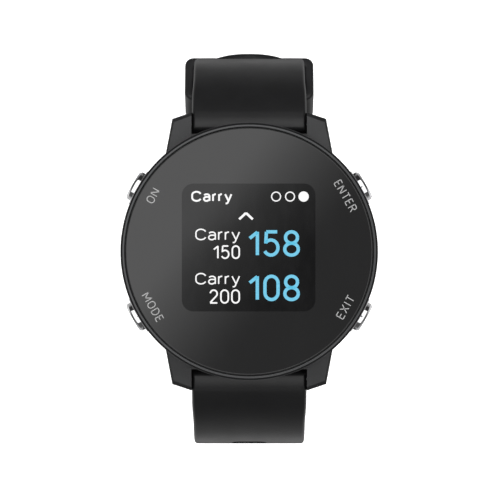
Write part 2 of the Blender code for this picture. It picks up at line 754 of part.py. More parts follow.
def section(place, spoke, half_width, outer, inner):
    """Eight corners of a strap's section: a flat bar with chamfered edges."""
    cut = min(STRAP_CHAMFER, (outer - inner) / 3, half_width / 3)
    across = [
        (-half_width + cut, outer),
        (half_width - cut, outer),
        (half_width, outer - cut),
        (half_width, inner + cut),
        (half_width - cut, inner),
        (-half_width + cut, inner),
        (-half_width, inner + cut),
        (-half_width, outer - cut),
    ]
    for x, offset in across:
        point = place + offset * spoke
        yield Vector((x, point.x, point.y))


def loft(name, sections):
    """A skin over sections of equal corner count, closed at both ends."""
    bm = bmesh.new()
    rows = [[bm.verts.new(corner) for corner in corners] for corners in sections]
    count = len(rows[0])
    for before, after in zip(rows, rows[1:]):
        for i in range(count):
            following = (i + 1) % count
            bm.faces.new((before[i], before[following], after[following], after[i]))
    bm.faces.new(rows[0])
    bm.faces.new(rows[-1])
    return finish_mesh(name, bm)


def bar_end_sections(bar, spoke, tangent):
    """The round end of a strap, behind its spring bar."""
    for share in reversed(END_SHARES):
        half = STRAP_END_RADIUS * math.sqrt(1 - share * share)
        yield section(bar - tangent * (STRAP_END_RADIUS * share), spoke, STRAP_WIDTH / 2, half, -half)


def strap_halves(distance, plain):
    ease = smooth(distance / STRAP_EASE)
    return STRAP_END_RADIUS + (plain - STRAP_END_RADIUS) * ease


def make_upper_strap(pivot):
    """The 12 o'clock half: from its spring bar to the buckle's bar."""
    stations = upper_path()
    lengths = list(distances(stations))
    first_spoke = stations[0][1]
    tangent = Vector((first_spoke.y, -first_spoke.x))
    sections = list(bar_end_sections(upper_bar, first_spoke, tangent))
    swell = 2 * (BUCKLE_END_RADIUS - strap_half)
    for (place, spoke), length in zip(stations, lengths):
        half = strap_halves(length, strap_half)
        extra = swell * smooth(1 - (lengths[-1] - length) / BUCKLE_EASE)
        sections.append(section(place, spoke, STRAP_WIDTH / 2, half, -half - extra))
    place, spoke = stations[-1]
    onward = Vector((spoke.y, -spoke.x))
    sink = strap_half - BUCKLE_END_RADIUS
    for share in END_SHARES:
        half = BUCKLE_END_RADIUS * math.sqrt(1 - share * share)
        beyond = place + onward * (BUCKLE_END_RADIUS * share)
        sections.append(section(beyond, spoke, STRAP_WIDTH / 2, sink + half, sink - half))
    strap = add_object("strap_upper", loft("strap_upper", sections), "rubber", pivot)
    cut_bar_bore(strap, "upper", upper_bar, first_spoke, pivot)
    bore = rod_profile(BUCKLE_BAR_RADIUS + BORE_GAP, -STRAP_WIDTH, STRAP_WIDTH)
    place = along_x(buckle_bar)
    combine(strap, cutter_turned("buckle_bar_bore", bore, FINE_STEPS, pivot, place))
    gap = TONGUE_EYE_RADIUS + HINGE_SIDE_GAP
    half = TONGUE_WIDTH / 2 + RUN_GAP
    low = (-half, -gap, -2 * BUCKLE_END_RADIUS)
    high = (half, 2 * gap, 2 * BUCKLE_END_RADIUS)
    slot = box_mesh("tongue_slot", low, high)
    combine(strap, add_cutter("tongue_slot", slot, pivot, side_frame(buckle_bar, buckle_spoke)))


def side_frame(place, spoke):
    """A frame at a place on the loop: Y runs on round the loop to the buckle's end, Z points out of it."""
    onward = Vector((spoke.y, -spoke.x))
    across = (1, 0, 0, 0)
    to_twelve = (0, onward.x, spoke.x, place.x)
    to_dial = (0, onward.y, spoke.y, place.y)
    return Matrix((across, to_twelve, to_dial, (0, 0, 0, 1)))


def cut_bar_bore(strap, word, bar, spoke, pivot):
    """The bore for a spring bar and the slot under it for the release knob."""
    bore = rod_profile(BAR_RADIUS + BORE_GAP, -STRAP_WIDTH, STRAP_WIDTH)
    combine(strap, cutter_turned(f"bar_bore_{word}", bore, FINE_STEPS, pivot, along_x(bar)))
    knob_x = STRAP_WIDTH / 2 - KNOB_INSET
    wide = KNOB_RADIUS + RUN_GAP
    low = (knob_x - PIN_TRAVEL - wide, -wide, -2 * STRAP_END_RADIUS)
    slot = box_mesh(f"knob_slot_{word}", low, (knob_x + wide, wide, 0))
    combine(strap, add_cutter(f"knob_slot_{word}", slot, pivot, side_frame(bar, spoke)))


def make_lower_strap(pivot):
    """The 6 o'clock half: from its spring bar round the back and up through the buckle and keeper."""
    stations = lower_path()
    lengths = list(distances(stations))
    first_spoke = stations[0][1]
    tangent = Vector((-first_spoke.y, first_spoke.x))
    sections = list(bar_end_sections(lower_bar, first_spoke, tangent))
    tip_start = lengths[-1] - TAIL_TIP_LENGTH
    for (place, spoke), length in zip(stations, lengths):
        half = strap_halves(length, tail_half)
        share = min(END_SHARES[-1], max(0.0, (length - tip_start) / TAIL_TIP_LENGTH))
        half_width = STRAP_WIDTH / 2 * math.sqrt(1 - share * share)
        sections.append(section(place, spoke, half_width, half, -half))
    strap = add_object("strap_lower", loft("strap_lower", sections), "rubber", pivot)
    cut_bar_bore(strap, "lower", lower_bar, first_spoke, pivot)
    slots = bmesh.new()
    for place, spoke in slot_places(stations, lengths):
        add_slot(slots, place, spoke)
    combine(strap, add_cutter("strap_slots", finish_mesh("strap_slots", slots), pivot))


def slot_places(stations, lengths):
    """Places of the fastening slots, a pitch apart along the strap, one of them on the tongue."""
    tail_end = math.radians(TAIL_TIP_ANGLE)
    tongue_length = lengths[-1] - (buckle_angle + tongue_lead / tail_radius - tail_end) * tail_radius
    for number in range(SLOT_COUNT):
        wanted = tongue_length + (SLOTS_PAST_TONGUE - number) * SLOT_PITCH
        for i in range(1, len(stations)):
            before, after = lengths[i - 1], lengths[i]
            if before <= wanted < after:
                share = (wanted - before) / (after - before)
                place = stations[i - 1][0].lerp(stations[i][0], share)
                spoke = stations[i - 1][1].lerp(stations[i][1], share)
                yield place, spoke.normalized()


def add_slot(bm, place, spoke):
    """A slot's cutter: a bar with round ends, lying across the strap."""
    outline = rounded_outline(SLOT_LENGTH, SLOT_WIDTH, SLOT_WIDTH / 2, steps=CORNER_STEPS - 1)
    depth = 2 * TAIL_THICKNESS
    face = bm.faces.new([bm.verts.new((point.x, point.y, -depth)) for point in outline])
    raised = bmesh.ops.extrude_face_region(bm, geom=[face])
    upper = [item for item in raised["geom"] if isinstance(item, bmesh.types.BMVert)]
    bmesh.ops.translate(bm, verts=upper, vec=(0, 0, 2 * depth))
    both = list(face.verts) + upper
    bmesh.ops.transform(bm, matrix=side_frame(place, spoke), verts=both)


def make_spring_bar(word, bar, spoke, pivot):
    """A quick-release spring bar: a tube with one fixed tip, and a sliding pin with a knob."""
    half = STRAP_WIDTH / 2 - RUN_GAP
    tip = lug_gap_half + BAR_TIP_REACH
    bore_start = tip - PIN_LENGTH - PIN_TRAVEL - RUN_GAP
    bore = PIN_RADIUS + BORE_GAP
    tube = [
        (0, bore_start),
        (bore, bore_start),
        (bore, half),
        (BAR_RADIUS, half),
        (BAR_RADIUS, -half),
        (BAR_TIP_RADIUS, -half),
        (BAR_TIP_RADIUS, -tip),
        (0, -tip),
    ]
    place = along_x(bar)
    barrel = turned(f"spring_bar_{word}", tube, "steel", FINE_STEPS, pivot, place, closed=False)
    knob_x = STRAP_WIDTH / 2 - KNOB_INSET
    wide = KNOB_RADIUS + BORE_GAP
    low = (knob_x - PIN_TRAVEL - wide, -wide, -2 * BAR_RADIUS)
    window = box_mesh(f"bar_window_{word}", low, (knob_x + wide, wide, 0))
    combine(barrel, add_cutter(f"bar_window_{word}", window, pivot, side_frame(bar, spoke)))
    rod = rod_profile(PIN_RADIUS, tip - PIN_LENGTH, tip)
    pin = turned(f"release_pin_{word}", rod, "steel", FINE_STEPS, pivot, place, closed=False)
    knob = rod_profile(KNOB_RADIUS, -STRAP_END_RADIUS - KNOB_PROUD, 0)
    stand = side_frame(bar, spoke) @ Matrix.Translation((knob_x, 0, 0))
    combine(pin, cutter_turned(f"release_knob_{word}", knob, FINE_STEPS, pivot, stand), "UNION")


def make_keeper(pivot):
    """The loop that holds the tail down: a ring with round corners, swept round the lower spring bar."""
    inner_low = SWING_RADIUS - strap_half - RUN_GAP
    inner_high = tail_outer_radius + RUN_GAP
    middle = (inner_low + inner_high) / 2
    width, height = STRAP_WIDTH + 2 * RUN_GAP, inner_high - inner_low
    inner = rounded_outline(width, height, KEEPER_CORNER / 4, steps=2)
    outer = rounded_outline(width + 2 * KEEPER_WALL, height + 2 * KEEPER_WALL, KEEPER_CORNER, steps=2)
    start = math.radians(KEEPER_ANGLE)
    sweep = KEEPER_LENGTH / middle
    bm = bmesh.new()
    rows = []
    for i in range(CORNER_STEPS + 1):
        angle = start + sweep * i / CORNER_STEPS
        spoke = Vector((math.cos(angle), -math.sin(angle)))
        row = []
        for outline in (outer, inner):
            row.append([])
            for point in outline:
                place = lower_bar + (middle + point.y) * spoke
                row[-1].append(bm.verts.new((point.x, place.x, place.y)))
        rows.append(row)
    count = len(outer)
    for i in range(count):
        following = (i + 1) % count
        for before, after in zip(rows, rows[1:]):
            for near, far in zip(before, after):
                bm.faces.new((near[i], near[following], far[following], far[i]))
        for outside, inside in (rows[0], rows[-1]):
            bm.faces.new((outside[i], outside[following], inside[following], inside[i]))
    add_object("strap_keeper", finish_mesh("strap_keeper", bm), "rubber", pivot)


def crossbar_tilt():
    """The angle at which the buckle's crossbar just clears the tail that passes under it."""
    corner = Vector((BUCKLE_LENGTH, -BUCKLE_THICKNESS / 2))
    reach = tail_outer_radius + RUN_GAP
    excess = reach**2 - buckle_bar_radius_place**2 - corner.length_squared
    rise = excess / (2 * buckle_bar_radius_place * corner.length)
    return math.asin(rise) - math.atan2(corner.y, corner.x)


def make_buckle(pivot):
    """The buckle: a U-shaped frame on its bar, and the tongue through a slot of the tail."""
    bar_frame = side_frame(buckle_bar, buckle_spoke)
    tilt = crossbar_tilt()
    inner = STRAP_WIDTH / 2 + HINGE_SIDE_GAP
    outer = inner + BUCKLE_ARM
    heel = BUCKLE_THICKNESS / 2
    far = BUCKLE_LENGTH + BUCKLE_CROSSBAR
    corner = min(BUCKLE_CORNER, BUCKLE_ARM + BUCKLE_CROSSBAR)
    outline = [(-outer, -heel), (-inner, -heel), (-inner, BUCKLE_LENGTH), (inner, BUCKLE_LENGTH)]
    outline += [(inner, -heel), (outer, -heel)]
    for side in (1, -1):
        for i in range(CORNER_STEPS + 1):
            angle = math.radians(90) * (i if side > 0 else CORNER_STEPS - i) / CORNER_STEPS
            x = side * (outer - corner + corner * math.cos(angle))
            outline.append((x, far - corner + corner * math.sin(angle)))
    plate = prism_mesh("buckle_frame", outline, -BUCKLE_THICKNESS / 2, BUCKLE_THICKNESS / 2)
    tilted = bar_frame @ Matrix.Rotation(tilt, 4, "X")
    frame = add_object("buckle_frame", plate, "steel", pivot, tilted)
    rounding = frame.modifiers.new("rounded", "BEVEL")
    rounding.width = BUCKLE_EDGE
    rounding.segments = 2
    rounding.limit_method = "ANGLE"
    rounding.angle_limit = SHARP_ANGLE
    bore = rod_profile(BUCKLE_BAR_RADIUS + BORE_GAP, -2 * outer, 2 * outer)
    place = along_x(buckle_bar)
    combine(frame, cutter_turned("buckle_arm_bores", bore, FINE_STEPS, pivot, place))
    bar = rod_profile(BUCKLE_BAR_RADIUS, -outer + RUN_GAP, outer - RUN_GAP)
    turned("buckle_bar", bar, "steel", FINE_STEPS, pivot, place, closed=False)
    make_tongue(bar_frame, tilt, pivot)


def tongue_spine(tilt):
    """The middle line of the tongue, from its bar: along the loop, and out of it."""
    half = TONGUE_THICKNESS / 2
    lead = tongue_lead + TONGUE_SHIFT
    tail_low = tail_inner_radius - buckle_bar_radius_place
    tail_high = tail_outer_radius - buckle_bar_radius_place
    through = [
        Vector((0, 0)),
        Vector((lead - half, tail_low / 2)),
        Vector((lead, tail_low)),
        Vector((lead, tail_high)),
        Vector((lead + TONGUE_THICKNESS, tail_high + RUN_GAP + half)),
    ]
    rise = BUCKLE_THICKNESS / 2 + BORE_GAP + half
    to_frame = Matrix.Rotation(tilt, 2)
    end = BUCKLE_LENGTH + BUCKLE_CROSSBAR + TONGUE_OVERHANG
    return through + [to_frame @ Vector((along, rise)) for along in (BUCKLE_LENGTH, end)]


def make_tongue(bar_frame, tilt, pivot):
    """A bent flat tongue: round its bar, out through the slot, then along onto the crossbar."""
    half = TONGUE_THICKNESS / 2
    spine = tongue_spine(tilt)
    steps = [(after - before).normalized() for before, after in zip(spine, spine[1:])]
    left, right = [], []
    for point, before, after in zip(spine[1:], steps, steps[1:] + steps[-1:]):
        onward = (before + after).normalized()
        aside = Vector((-onward.y, onward.x)) * half
        left.append(point + aside)
        right.append(point - aside)
    margin = math.asin(half / TONGUE_EYE_RADIUS)
    first = math.atan2(left[0].y, left[0].x) + margin
    last = math.atan2(right[0].y, right[0].x) - margin + math.tau
    eye = []
    for i in range(FINE_STEPS):
        angle = first + (last - first) * i / (FINE_STEPS - 1)
        eye.append(TONGUE_EYE_RADIUS * Vector((math.cos(angle), math.sin(angle))))
    outline = eye + right + left[::-1]
    bm = bmesh.new()
    side = TONGUE_WIDTH / 2
    face = bm.faces.new([bm.verts.new((-side, point.x, point.y)) for point in outline])
    raised = bmesh.ops.extrude_face_region(bm, geom=[face])
    moved = [item for item in raised["geom"] if isinstance(item, bmesh.types.BMVert)]
    bmesh.ops.translate(bm, verts=moved, vec=(TONGUE_WIDTH, 0, 0))
    tongue = add_object("buckle_tongue", finish_mesh("buckle_tongue", bm), "steel", pivot, bar_frame)
    bore = rod_profile(BUCKLE_BAR_RADIUS + BORE_GAP, -TONGUE_WIDTH, TONGUE_WIDTH)
    combine(tongue, cutter_turned("tongue_bore", bore, FINE_STEPS, pivot, along_x(buckle_bar)))


buckle_spoke = Vector((math.cos(buckle_angle), -math.sin(buckle_angle)))
buckle_bar = lower_bar + buckle_bar_radius_place * buckle_spoke
tongue_lead = TONGUE_EYE_RADIUS + TONGUE_THICKNESS / 2

clear_scene()
finishes = make_materials()
case_frame = add_empty("case_frame", Vector((0, 0, case_back_height)))
strap_frame = add_empty("strap_frame", Vector((0, 0, bar_over_floor)))
upper_hinge = add_empty("upper_hinge", Vector((0, *upper_bar)), strap_frame)
lower_hinge = add_empty("lower_hinge", Vector((0, *lower_bar)), strap_frame)
keeper_guide = add_empty("keeper_guide", lower_hinge.location - upper_hinge.location, upper_hinge)
make_mid_case(case_frame)
make_bezel(case_frame)
make_case_back(case_frame)
make_inside(case_frame)
for button_word, button_angle in BUTTON_ANGLES.items():
    make_button(button_word, button_angle, case_frame)
make_upper_strap(upper_hinge)
make_lower_strap(lower_hinge)
make_spring_bar("upper", upper_bar, upper_path()[0][1], upper_hinge)
make_spring_bar("lower", lower_bar, lower_path()[0][1], lower_hinge)
make_keeper(keeper_guide)
make_buckle(upper_hinge)
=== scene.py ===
# %% [markdown]
# A golf GPS watch stands dial up on the back of its fastened strap loop. The imported solids are
# loaded first as a fixed frame: their places are final, so every piece below is modelled in the
# same frame and only has to look better than the solid that it stands for.

import math

import bmesh
import bpy
from mathutils import Matrix, Vector


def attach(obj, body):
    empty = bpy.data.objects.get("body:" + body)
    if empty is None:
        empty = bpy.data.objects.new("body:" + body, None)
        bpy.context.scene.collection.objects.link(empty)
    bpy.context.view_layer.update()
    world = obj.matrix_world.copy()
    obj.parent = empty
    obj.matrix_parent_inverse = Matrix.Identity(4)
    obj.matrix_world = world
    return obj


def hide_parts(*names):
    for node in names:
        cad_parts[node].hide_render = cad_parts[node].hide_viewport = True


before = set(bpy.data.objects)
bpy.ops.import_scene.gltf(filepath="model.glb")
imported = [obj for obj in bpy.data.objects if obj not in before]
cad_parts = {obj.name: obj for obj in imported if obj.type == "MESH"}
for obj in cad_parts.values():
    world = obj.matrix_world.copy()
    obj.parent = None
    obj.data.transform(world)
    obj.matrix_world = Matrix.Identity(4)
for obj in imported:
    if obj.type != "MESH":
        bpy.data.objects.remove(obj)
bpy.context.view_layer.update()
scene = bpy.context.scene

# %% [markdown]
# Watch parts are a few millimetres across. Modelling them in metres would put every number below
# 0.07, so the pieces are modelled in millimetres, and one helper scales a finished bmesh to metres
# and makes it an object. It keeps the object at the origin with its place in the mesh, shades it
# smooth between edges sharper than a set angle, and tells the frame which body the piece rides on
# and which solids it stands for.

# %% From bmesh to piece
MM = 0.001
SHARP = math.radians(38)


def evaluated_mesh(item):
    """A new mesh of an object, with its modifiers or its curve's section worked out."""
    bpy.context.view_layer.update()
    depsgraph = bpy.context.evaluated_depsgraph_get()
    return bpy.data.meshes.new_from_object(item.evaluated_get(depsgraph))


def weigh_normals(piece):
    """Lets large faces set the shading, so that flats stay flat beside small roundings."""
    step = piece.modifiers.new("weighted", "WEIGHTED_NORMAL")
    step.keep_sharp = True
    plain = piece.data
    piece.data = evaluated_mesh(piece)
    piece.modifiers.clear()
    bpy.data.meshes.remove(plain)


def add_piece(name, bm, finish, body, stands_for=()):
    """Makes a bmesh in millimetres a piece in metres that rides on a body and replaces solids."""
    bmesh.ops.scale(bm, vec=(MM, MM, MM), verts=bm.verts)
    mesh = bpy.data.meshes.new(name)
    bm.to_mesh(mesh)
    bm.free()
    mesh.shade_smooth()
    mesh.set_sharp_from_angle(angle=SHARP)
    mesh.materials.append(finish)
    piece = bpy.data.objects.new(name, mesh)
    scene.collection.objects.link(piece)
    weigh_normals(piece)
    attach(piece, body)
    if stands_for:
        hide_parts(*stands_for)
    print(name, len(piece.data.polygons), "faces")


print("edges are sharp from", round(math.degrees(SHARP)), "degrees")

# %% [markdown]
# Most of a watch is turned on a lathe: bezel, lens, case wall, buttons, screws. Blender's Screw
# modifier could turn a profile, but the spin operator does the same on a bmesh and leaves nothing
# live. A real turned part has no perfectly sharp corner, so each corner of the profile carries its
# own small rounding, made with a vertex bevel on the bare wire before it is spun.

# %% Turned shapes
RING_STEPS = 192
SMALL_STEPS = 64
WELD = 0.0005
ROUND_STEPS = 4


def bevel(bm, geom, offset, affect, segments=ROUND_STEPS):
    """Rounds edges or corners with a circular profile."""
    bmesh.ops.bevel(
        bm,
        geom=geom,
        offset=offset,
        affect=affect,
        segments=segments,
        profile=0.5,
        material=-1,
        clamp_overlap=True,
    )


def tidy(bm):
    """Merges doubles, then turns all faces outwards."""
    bmesh.ops.remove_doubles(bm, verts=bm.verts, dist=WELD)
    bmesh.ops.recalc_face_normals(bm, faces=bm.faces)
    return bm


def round_corners(bm, verts, roundings, segments=ROUND_STEPS):
    """Rounds each corner by its own amount, all corners of one amount together."""
    for rounding in sorted(set(roundings) - {0}):
        alike = [vert for vert, own in zip(verts, roundings) if own == rounding]
        bevel(bm, alike, rounding, "VERTICES", segments)


def turned(corners, steps=RING_STEPS):
    """Turns corners of (radius, height, rounding) round Z. A profile from axis to axis stays open."""
    bm = bmesh.new()
    verts = [bm.verts.new((radius, 0, height)) for radius, height, _ in corners]
    hollow = corners[0][0] > 0
    for pair in zip(verts, verts[1:] + verts[:1] if hollow else verts[1:]):
        bm.edges.new(pair)
    round_corners(bm, verts, [rounding for _, _, rounding in corners])
    bmesh.ops.spin(
        bm,
        geom=bm.verts[:] + bm.edges[:],
        cent=(0, 0, 0),
        axis=(0, 0, 1),
        dvec=(0, 0, 0),
        angle=math.tau,
        steps=steps,
        use_merge=True,
    )
    return tidy(bm)


def disc(radius, low, high, rounding=0, steps=SMALL_STEPS):
    """A turned disc or rod between two heights."""
    corners = [(0, high, 0), (radius, high, rounding), (radius, low, rounding), (0, low, 0)]
    return turned(corners, steps)


print("steps round a ring:", RING_STEPS, "and round a small part:", SMALL_STEPS)

# %% [markdown]
# What isn't turned is cut from a flat plate, or has another shape cut out of it. A plate starts as
# a grid of one face, whose corners are rounded before it is extruded to its thickness. Booleans
# could stay as live modifiers, but applying each one at once leaves a plain mesh. Merging doubles
# afterwards clears the slivers that a cut can leave.

# %% Plates and Booleans
def raised(bm, faces, vec):
    """Extrudes faces along a vector and gives the moved vertices."""
    made = bmesh.ops.extrude_face_region(bm, geom=faces)
    moved = [item for item in made["geom"] if isinstance(item, bmesh.types.BMVert)]
    bmesh.ops.translate(bm, verts=moved, vec=vec)
    bmesh.ops.recalc_face_normals(bm, faces=bm.faces)
    return moved


def plate(width, length, corner, low, high, middle=(0, 0), segments=8):
    """A plate with round corners, lying in XY between two heights."""
    bm = bmesh.new()
    bmesh.ops.create_grid(bm, x_segments=1, y_segments=1, size=0.5)
    bmesh.ops.scale(bm, vec=(width, length, 1), verts=bm.verts)
    if corner:
        bevel(bm, bm.verts[:], corner, "VERTICES", segments)
    bmesh.ops.translate(bm, verts=bm.verts, vec=(*middle, low))
    raised(bm, bm.faces[:], (0, 0, high - low))
    return bm


def prism(radius, depth, sides, capped=True):
    """An upright prism or tube about the origin."""
    bm = bmesh.new()
    bmesh.ops.create_cone(
        bm, cap_ends=capped, segments=sides, radius1=radius, radius2=radius, depth=depth
    )
    return bm


ACROSS = Matrix.Rotation(math.radians(90), 4, "Y")


def placed(bm, matrix):
    """Moves or turns a bmesh by a matrix."""
    bmesh.ops.transform(bm, matrix=matrix, verts=bm.verts)
    return bm


def joined(parts):
    """Several bmeshes as one."""
    whole = bmesh.new()
    for part in parts:
        mesh = bpy.data.meshes.new("joining")
        part.to_mesh(mesh)
        part.free()
        whole.from_mesh(mesh)
        bpy.data.meshes.remove(mesh)
    return whole


def carved(bm, tool, operation="DIFFERENCE"):
    """A Boolean of two bmeshes. Both are used up."""
    pair = []
    for part in (bm, tool):
        mesh = bpy.data.meshes.new("carving")
        part.to_mesh(mesh)
        part.free()
        pair.append(bpy.data.objects.new("carving", mesh))
        scene.collection.objects.link(pair[-1])
    step = pair[0].modifiers.new("carving", "BOOLEAN")
    step.operation, step.object, step.solver = operation, pair[1], "EXACT"
    bpy.context.view_layer.update()
    done = bmesh.new()
    done.from_object(pair[0], bpy.context.evaluated_depsgraph_get())
    for item in pair:
        mesh = item.data
        bpy.data.objects.remove(item)
        bpy.data.meshes.remove(mesh)
    bmesh.ops.remove_doubles(done, verts=done.verts, dist=WELD)
    return done


print("doubles merge within", WELD, "mm")

# %% [markdown]
# Finishes are procedural, so that they need no image files and hold up at any distance. Wiring
# nodes by hand takes many lines, so a small class stands for one output socket: Python's plus,
# minus and times on it add Math nodes, and short methods add the other nodes that the finishes use.

# %% Shader wiring
class Wire:
    def __init__(self, tree, socket):
        self.tree, self.socket = tree, socket

    def node(self, kind, settings=None, inputs=None, output=0):
        """Adds a node: its type, its settings, then the values or wires of its sockets."""
        made = self.tree.nodes.new(kind)
        for name, value in (settings or {}).items():
            setattr(made, name, value)
        for key, value in (inputs or {}).items():
            if isinstance(value, Wire):
                self.tree.links.new(value.socket, made.inputs[key])
            else:
                made.inputs[key].default_value = value
        return Wire(self.tree, made.outputs[output])

    def math(self, operation, *values):
        """Any operation of the Math node."""
        return self.node("ShaderNodeMath", {"operation": operation}, dict(enumerate(values)))

    def __add__(self, other):
        return self.math("ADD", self, other)

    def __sub__(self, other):
        return self.math("SUBTRACT", self, other)

    def __rsub__(self, other):
        return self.math("SUBTRACT", other, self)

    def __mul__(self, other):
        return self.math("MULTIPLY", self, other)

    __radd__ = __add__
    __rmul__ = __mul__

    def clamped(self, low, high, to_low=0.0, to_high=1.0):
        """A smooth step of this value from one range to another."""
        values = dict(enumerate((self, low, high, to_low, to_high)))
        return self.node("ShaderNodeMapRange", {"interpolation_type": "SMOOTHSTEP"}, values)

    def noise(self, scale, detail=3.0, roughness=0.55, stretch=None):
        """Noise on this vector, in features per metre, stretched along axes where asked."""
        vector = self
        if stretch:
            vector = self.node("ShaderNodeMapping", None, {"Vector": self, "Scale": stretch})
        values = {"Vector": vector, "Scale": scale, "Detail": detail, "Roughness": roughness}
        return self.node("ShaderNodeTexNoise", None, values)

    def between(self, first, second):
        """A colour between two, this value being the share of the second."""
        ends = {0: self, 6: (*first, 1.0), 7: (*second, 1.0)}
        return self.node("ShaderNodeMix", {"data_type": "RGBA"}, ends, 2)

    def bump(self, distance, strength):
        """A normal from this height."""
        values = {"Height": self, "Distance": distance, "Strength": strength}
        return self.node("ShaderNodeBump", None, values, "Normal")

    def split(self):
        """The three parts of this vector."""
        outputs = self.node("ShaderNodeSeparateXYZ", None, {0: self}).socket.node.outputs
        return [Wire(self.tree, part) for part in outputs]

    def grey(self):
        """A grey of this brightness."""
        return self.node("ShaderNodeCombineXYZ", None, {0: self, 1: self, 2: self})


def new_finish(name, **constants):
    """A material whose shader has these constants, and the wire of its Object coordinates."""
    material = bpy.data.materials.new(name)
    material.use_nodes = True
    tree = material.node_tree
    shader = tree.nodes["Principled BSDF"]
    for socket, value in constants.items():
        shader.inputs[socket.replace("_", " ")].default_value = value
    place = Wire(tree, tree.nodes.new("ShaderNodeTexCoord").outputs["Object"])
    return material, place


def feed(material, **wires):
    """Links wires to the shader's sockets."""
    tree = material.node_tree
    shader = tree.nodes["Principled BSDF"]
    for socket, wire in wires.items():
        tree.links.new(wire.socket, shader.inputs[socket.replace("_", " ")])
    print("finish:", material.name, len(tree.nodes), "nodes")
    return material


print("finishes before the first one:", len(bpy.data.materials))

# %% [markdown]
# The strap is moulded silicone rubber: near black, with a soft sheen that rises towards grazing
# angles. Its mould is bead-blasted, which leaves a very fine grain with pores, and handling leaves
# broad patches that are a little shinier. Noises of three sizes do this, and a bump carries the
# grain and the pores.

# %% Rubber finishes
PATCHES, GRAIN, PORES = 220.0, 7000.0, 2600.0


def make_rubber(name, dark, light, rough, gloss):
    made, place = new_finish(name, Specular_IOR_Level=gloss)
    patches = place.noise(PATCHES, 2.0).clamped(0.35, 0.65)
    grain = place.noise(GRAIN, 2.0)
    pores = place.noise(PORES, 3.0).clamped(0.3, 0.7)
    return feed(
        made,
        Base_Color=(patches * 0.6 + grain * 0.4).between(dark, light),
        Roughness=patches * -0.03 + grain * 0.06 + rough,
        Normal=(grain * 0.6 + pores * 0.4).bump(0.02 * MM, 0.5),
    )


strap_rubber = make_rubber(
    "strap_silicone", (0.0048, 0.0048, 0.0050), (0.0066, 0.0066, 0.0069), rough=0.33, gloss=0.32
)
keeper_rubber = make_rubber(
    "keeper_silicone", (0.0055, 0.0055, 0.0058), (0.0075, 0.0075, 0.0079), rough=0.42, gloss=0.32
)
seal_rubber = make_rubber(
    "seal_silicone", (0.008, 0.008, 0.008), (0.013, 0.013, 0.013), rough=0.62, gloss=0.4
)

# %% [markdown]
# The case middle and the case back are glass-filled resin with a spark-eroded texture: dark grey
# and matt, a little lighter where the tops of the texture have been rubbed. On the case middle, the
# lugs' sloping tops, which face the light, carry a painted highlight, and all its other faces, the
# sides and chamfers among them, are painted in shade. Noise can't tell one face from another, so
# those faces carry a mark, and the finish reads it as an attribute.

# %% Case resin
LIT_TOP_MARK = "lug_top_painted_light"
SPARK_TEXTURE, RESIN_CLOUDS = 5200.0, 160.0


def make_resin(name, dark, light, rough, gloss, lit_tops=0.0):
    """Resin with a painted highlight: lighter, by a share, on faces that carry the mark of a lit top.
    """
    made, place = new_finish(name, Specular_IOR_Level=gloss)
    # The mark of a lit top feeds a painted highlight into the base colour; unmarked faces keep
    # painted shade.
    top = place.node("ShaderNodeAttribute", {"attribute_name": LIT_TOP_MARK}, None, "Fac")
    texture = place.noise(SPARK_TEXTURE, 3.0, 0.6)
    cloud = place.noise(RESIN_CLOUDS, 2.0).clamped(0.3, 0.7)
    rubbed = texture.clamped(0.5, 0.72)
    return feed(
        made,
        Base_Color=((cloud + rubbed) * (0.5 - 0.5 * lit_tops) + top * lit_tops).between(dark, light),
        Roughness=rough - rubbed * 0.08 + cloud * 0.04,
        Normal=texture.bump(0.04 * MM, 0.5),
    )


# A share of 0.6 paints the lugs' tops as lit and the rest of the case middle as shaded.
case_resin = make_resin(
    "case_resin", (0.0040, 0.0040, 0.0042), (0.0255, 0.0258, 0.0267), rough=0.42, gloss=0.36, lit_tops=0.6
)
cover_resin = make_resin(
    "cover_resin", (0.0120, 0.0121, 0.0126), (0.0200, 0.0202, 0.0209), rough=0.44, gloss=0.4
)
inner_resin = make_resin(
    "inner_resin", (0.030, 0.030, 0.034), (0.055, 0.055, 0.060), rough=0.52, gloss=0.5
)

# %% [markdown]
# The bezel is grey coated metal, brushed round and round, so its noise runs on the radius and
# hardly at all on the angle. Only its flat land, which faces the light, is painted light. The groove
# inside it and the chamfer outside it are painted in shade, darker, so the finish also reads the
# height.

# %% Bezel metal
BRUSHING, BEZEL_CLOUDS, ANGLE_SHARE = 9000.0, 130.0, 0.0006
LIT_LAND_EDGE = (0.06250, 0.06256)
BEZEL_PAINTED_SHADE, BEZEL_PAINTED_LIT = (0.0035, 0.0035, 0.0037), (0.036, 0.0366, 0.0378)


def ring_noise(place, scale, detail):
    """Noise that follows rings round the Z axis, from the radius and a little of the angle."""
    x, y, _ = place.split()
    radius = x.math("SQRT", x * x + y * y)
    angle = x.math("ARCTAN2", y, x)
    rings = place.node("ShaderNodeCombineXYZ", None, {0: radius, 1: angle * ANGLE_SHARE})
    return rings.noise(scale, detail)


def make_bezel_metal():
    made, place = new_finish("bezel_metal_painted_shade", Metallic=0.15, Specular_IOR_Level=0.5)
    lines = ring_noise(place, BRUSHING, 2.0)
    cloud = place.noise(BEZEL_CLOUDS, 2.0)
    # Painted light and shade: the flat land, found by height, is lit; the groove and chamfer below it
    # are shaded.
    lit_land = place.split()[2].clamped(*LIT_LAND_EDGE)
    return feed(
        made,
        Base_Color=(lines * 0.15 + cloud * 0.1 + lit_land * 0.75).between(BEZEL_PAINTED_SHADE, BEZEL_PAINTED_LIT),
        Roughness=0.08 + lines * 0.05,
        Normal=lines.bump(0.006 * MM, 0.35),
    )


bezel_metal = make_bezel_metal()

